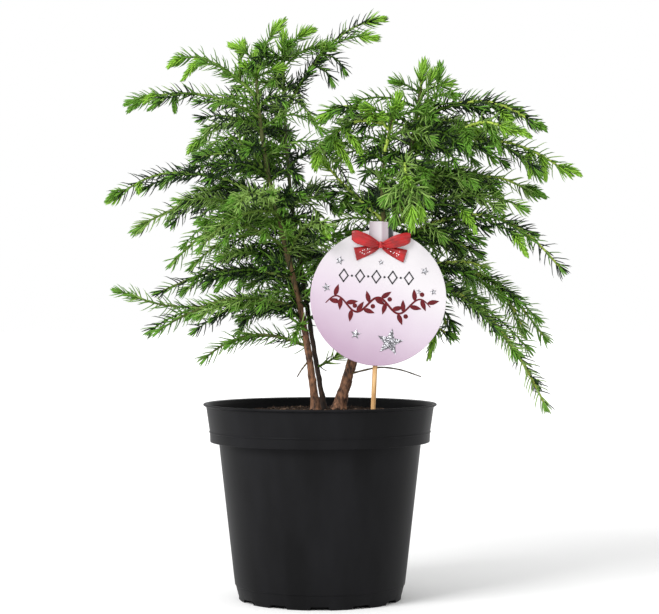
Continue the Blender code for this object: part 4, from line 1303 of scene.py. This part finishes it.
# Surface of a front and a back sheet, grids of the same size, closed round their edges
def sheetPair(front, back):
    rows, columns = front.shape[:2]
    index = np.arange(rows * columns).reshape(rows, columns)
    loop = np.concatenate([index[0], index[1:, -1], index[-1, ::-1][1:], index[::-1, 0][1:-1]])
    after = np.roll(loop, -1)
    rim = np.stack([after, loop, loop + rows * columns, after + rows * columns], axis=1)
    faces = gridFaces(rows, columns, False)
    return (np.concatenate([front.reshape(-1, 3), back.reshape(-1, 3)]),
            [faces, faces[:, ::-1] + rows * columns, rim])


# Cap on the board's top edge: a half-round collar, depth sqrt(1 - x^2) across
def makeCap():
    cap = dict(low=38.0, high=pick["radius"] + pick["capRise"] - 0.3, half=8.4, depth=0.9,
               crown=0.5, edge=0.15, flare=0.04, sharp=50)
    across = np.linspace(-1, 1, 61)[None, :]
    up = np.linspace(0, 1, 13)[:, None]
    x = cap["half"] * across * (1 - cap["flare"] + cap["flare"] * up)
    z = cap["low"] + (cap["high"] - cap["low"]) * up + cap["crown"] * (1 - across ** 2) * up
    relief = cap["edge"] + cap["depth"] * np.sqrt(1 - across ** 2) * (1 - up ** 8)
    surface = sheetPair(onPick(x, boardFace + relief, z), onPick(x, boardFace + printLift, z))
    middle = onPick(0, 0, (cap["low"] + cap["high"]) / 2)[0]
    addPiece("silverCap", surface, makeCapFoil(middle, cap["half"]),
             sharp=cap["sharp"])


# Round skewer behind the board, pointed at its foot
def makeStick():
    size = dict(steps=24, sides=24, point=9.0, blunt=0.15, gap=0.3)
    raised = np.linspace(pick["stickFoot"], pick["stickTop"], size["steps"])
    path = onPick(0, -(boardFace + pick["stickRadius"] + size["gap"]), raised)
    taper = np.clip((raised - pick["stickFoot"]) / size["point"], size["blunt"], 1)
    surface = tubeSurface(path[None], (pick["stickRadius"] * taper)[None], size["sides"])
    addPiece("bambooStick", surface, makeBamboo(), ["pick_stick"])


bow = dict(raised=36.4, loop=19.4, loopHalf=4.5, knotHalf=1.4, front=3.9, back=1.2, rise=0.28,
           tail=16.4, tailHalf=4.4, tailRoot=1.2, tailDrop=0.8, tailFall=6.3, thick=0.4,
           columns=17, pleats=3.5, knotSides=24, knotRows=13)


# Middle line of a bow's tail: across and raised, at shares of its length
def tailLine(side, share):
    return (side * (0.8 + bow["tail"] * share),
            bow["raised"] - bow["tailDrop"] - bow["tailFall"] * share ** 0.75)


# Ribbon to one side (1 right, -1 left) along a middle line (x, depth, rise) with a half-width
# at each step; it leans by shear across its width, its pleats are cos waves that fade away
# from the knot, and its two faces lie half a thickness along the normal of its plan line
def ribbonPart(side, x, depth, rise, half, pleat, shear):
    v = side * np.linspace(1, -1, bow["columns"])[None, :]
    x, depth, rise, half, pleat, shear = np.stack([x, depth, rise, half, pleat, shear])[..., None]
    z = rise + half * v
    x = x + shear * v
    fold = depth + pleat * np.cos(bow["pleats"] * math.pi * v) - 0.5 * v ** 4
    alongX, alongFold = np.gradient(x + 0 * v, axis=0), np.gradient(fold, axis=0)
    scale = side * bow["thick"] / 2 / np.hypot(alongX, alongFold)
    offX, offFold = -alongFold * scale, alongX * scale
    return sheetPair(onPick(x + offX, fold + offFold, z), onPick(x - offX, fold - offFold, z))


# Bow: a loop each side, whose front and back meet in a round outer fold, and a tail
# under it that widens to a slanting end
def makeBow():
    satin = makeRibbon()
    parts = []
    u = np.linspace(0, 1, 49)
    t = np.linspace(0, 1, 25)
    out = np.sin(math.pi * u) ** 0.85
    front, back = bow["front"], bow["back"]
    for side in (-1, 1):
        depth = (front + back) / 2 + (front - back) / 2 * np.cos(math.pi * u)
        swell = np.sin(math.pi / 2 * np.minimum(1, out / 0.6))
        half = bow["knotHalf"] + (bow["loopHalf"] - bow["knotHalf"]) * swell
        half *= 1 - 0.34 * np.clip((out - 0.78) / 0.22, 0, 1) ** 2
        x = side * (0.6 + bow["loop"] * out)
        parts.append(ribbonPart(side, x, boardFace + depth + 0.5 * out * (1 - u),
                                bow["raised"] + bow["rise"] * np.abs(x), half,
                                0.4 * (1 - out) + 0.08, 0 * x))
        x, rise = tailLine(side, t)
        depth = boardFace + 1.0 + 0.4 * np.sin(2.6 * math.pi * t + side)
        half = bow["tailRoot"] + (bow["tailHalf"] - bow["tailRoot"]) * t ** 0.6
        parts.append(ribbonPart(side, x, depth, rise, half, 0.3 * (1 - t) + 0.08, side * 1.2 * t))
    addPiece("ribbonBow", joinParts(parts), satin, ["pick_bow"])
    makeKnot(satin)
    makeFlecks()
    print("holiday pick made")


# Knot: a short barrel of ribbon, drawn in at its waist
def makeKnot(satin):
    knot = dict(depth=3.0, halfWide=2.0, halfDeep=1.7, halfHigh=2.3, pole=2.4)
    angle = ringAngles(bow["knotSides"])
    rows = np.linspace(-1, 1, bow["knotRows"])[:, None]
    bulge = np.sqrt(np.clip(1 - rows ** 4, 0, 1))
    x = knot["halfWide"] * np.cos(angle) * (0.75 + 0.25 * rows ** 2) * np.where(bulge > 0, 1, 0.2)
    depth = knot["halfDeep"] * np.sin(angle) * (0.35 + 0.65 * bulge)
    middle = boardFace + knot["depth"]
    points, faces = ringSurface(onPick(x, middle + depth, bow["raised"] + knot["halfHigh"] * rows),
                                onPick(0, middle, bow["raised"] - knot["pole"]),
                                onPick(0, middle, bow["raised"] + knot["pole"]))
    addPiece("ribbonKnot", (points, [some[:, ::-1] for some in faces]), satin)


# White flecks strewn over the bow's tails
def makeFlecks():
    fleck = dict(each=9, spread=2.8, forward=1.3, thick=0.5)
    draw = np.random.default_rng(5)
    parts = []
    for side in (-1, 1):
        for _ in range(fleck["each"]):
            share = draw.uniform(0.25, 0.8)
            x, z = tailLine(side, share)
            z += draw.uniform(-fleck["spread"], fleck["spread"]) * share
            outline = disc(draw.uniform(0.22, 0.4), [x, z], 8)
            parts.append(plate(outline, boardFace + fleck["forward"], fleck["thick"]))
    sequin = makeInk("whiteSequin", "#E8E0E0", "#FFFFFF", 0.5, 0.3)
    addPiece("whiteFlecks", joinParts(parts), sequin, smooth=False)


makeBoard()
makeCap()
makeStars()
makeDiamonds()
makeGarland()
makeStick()
makeBow()
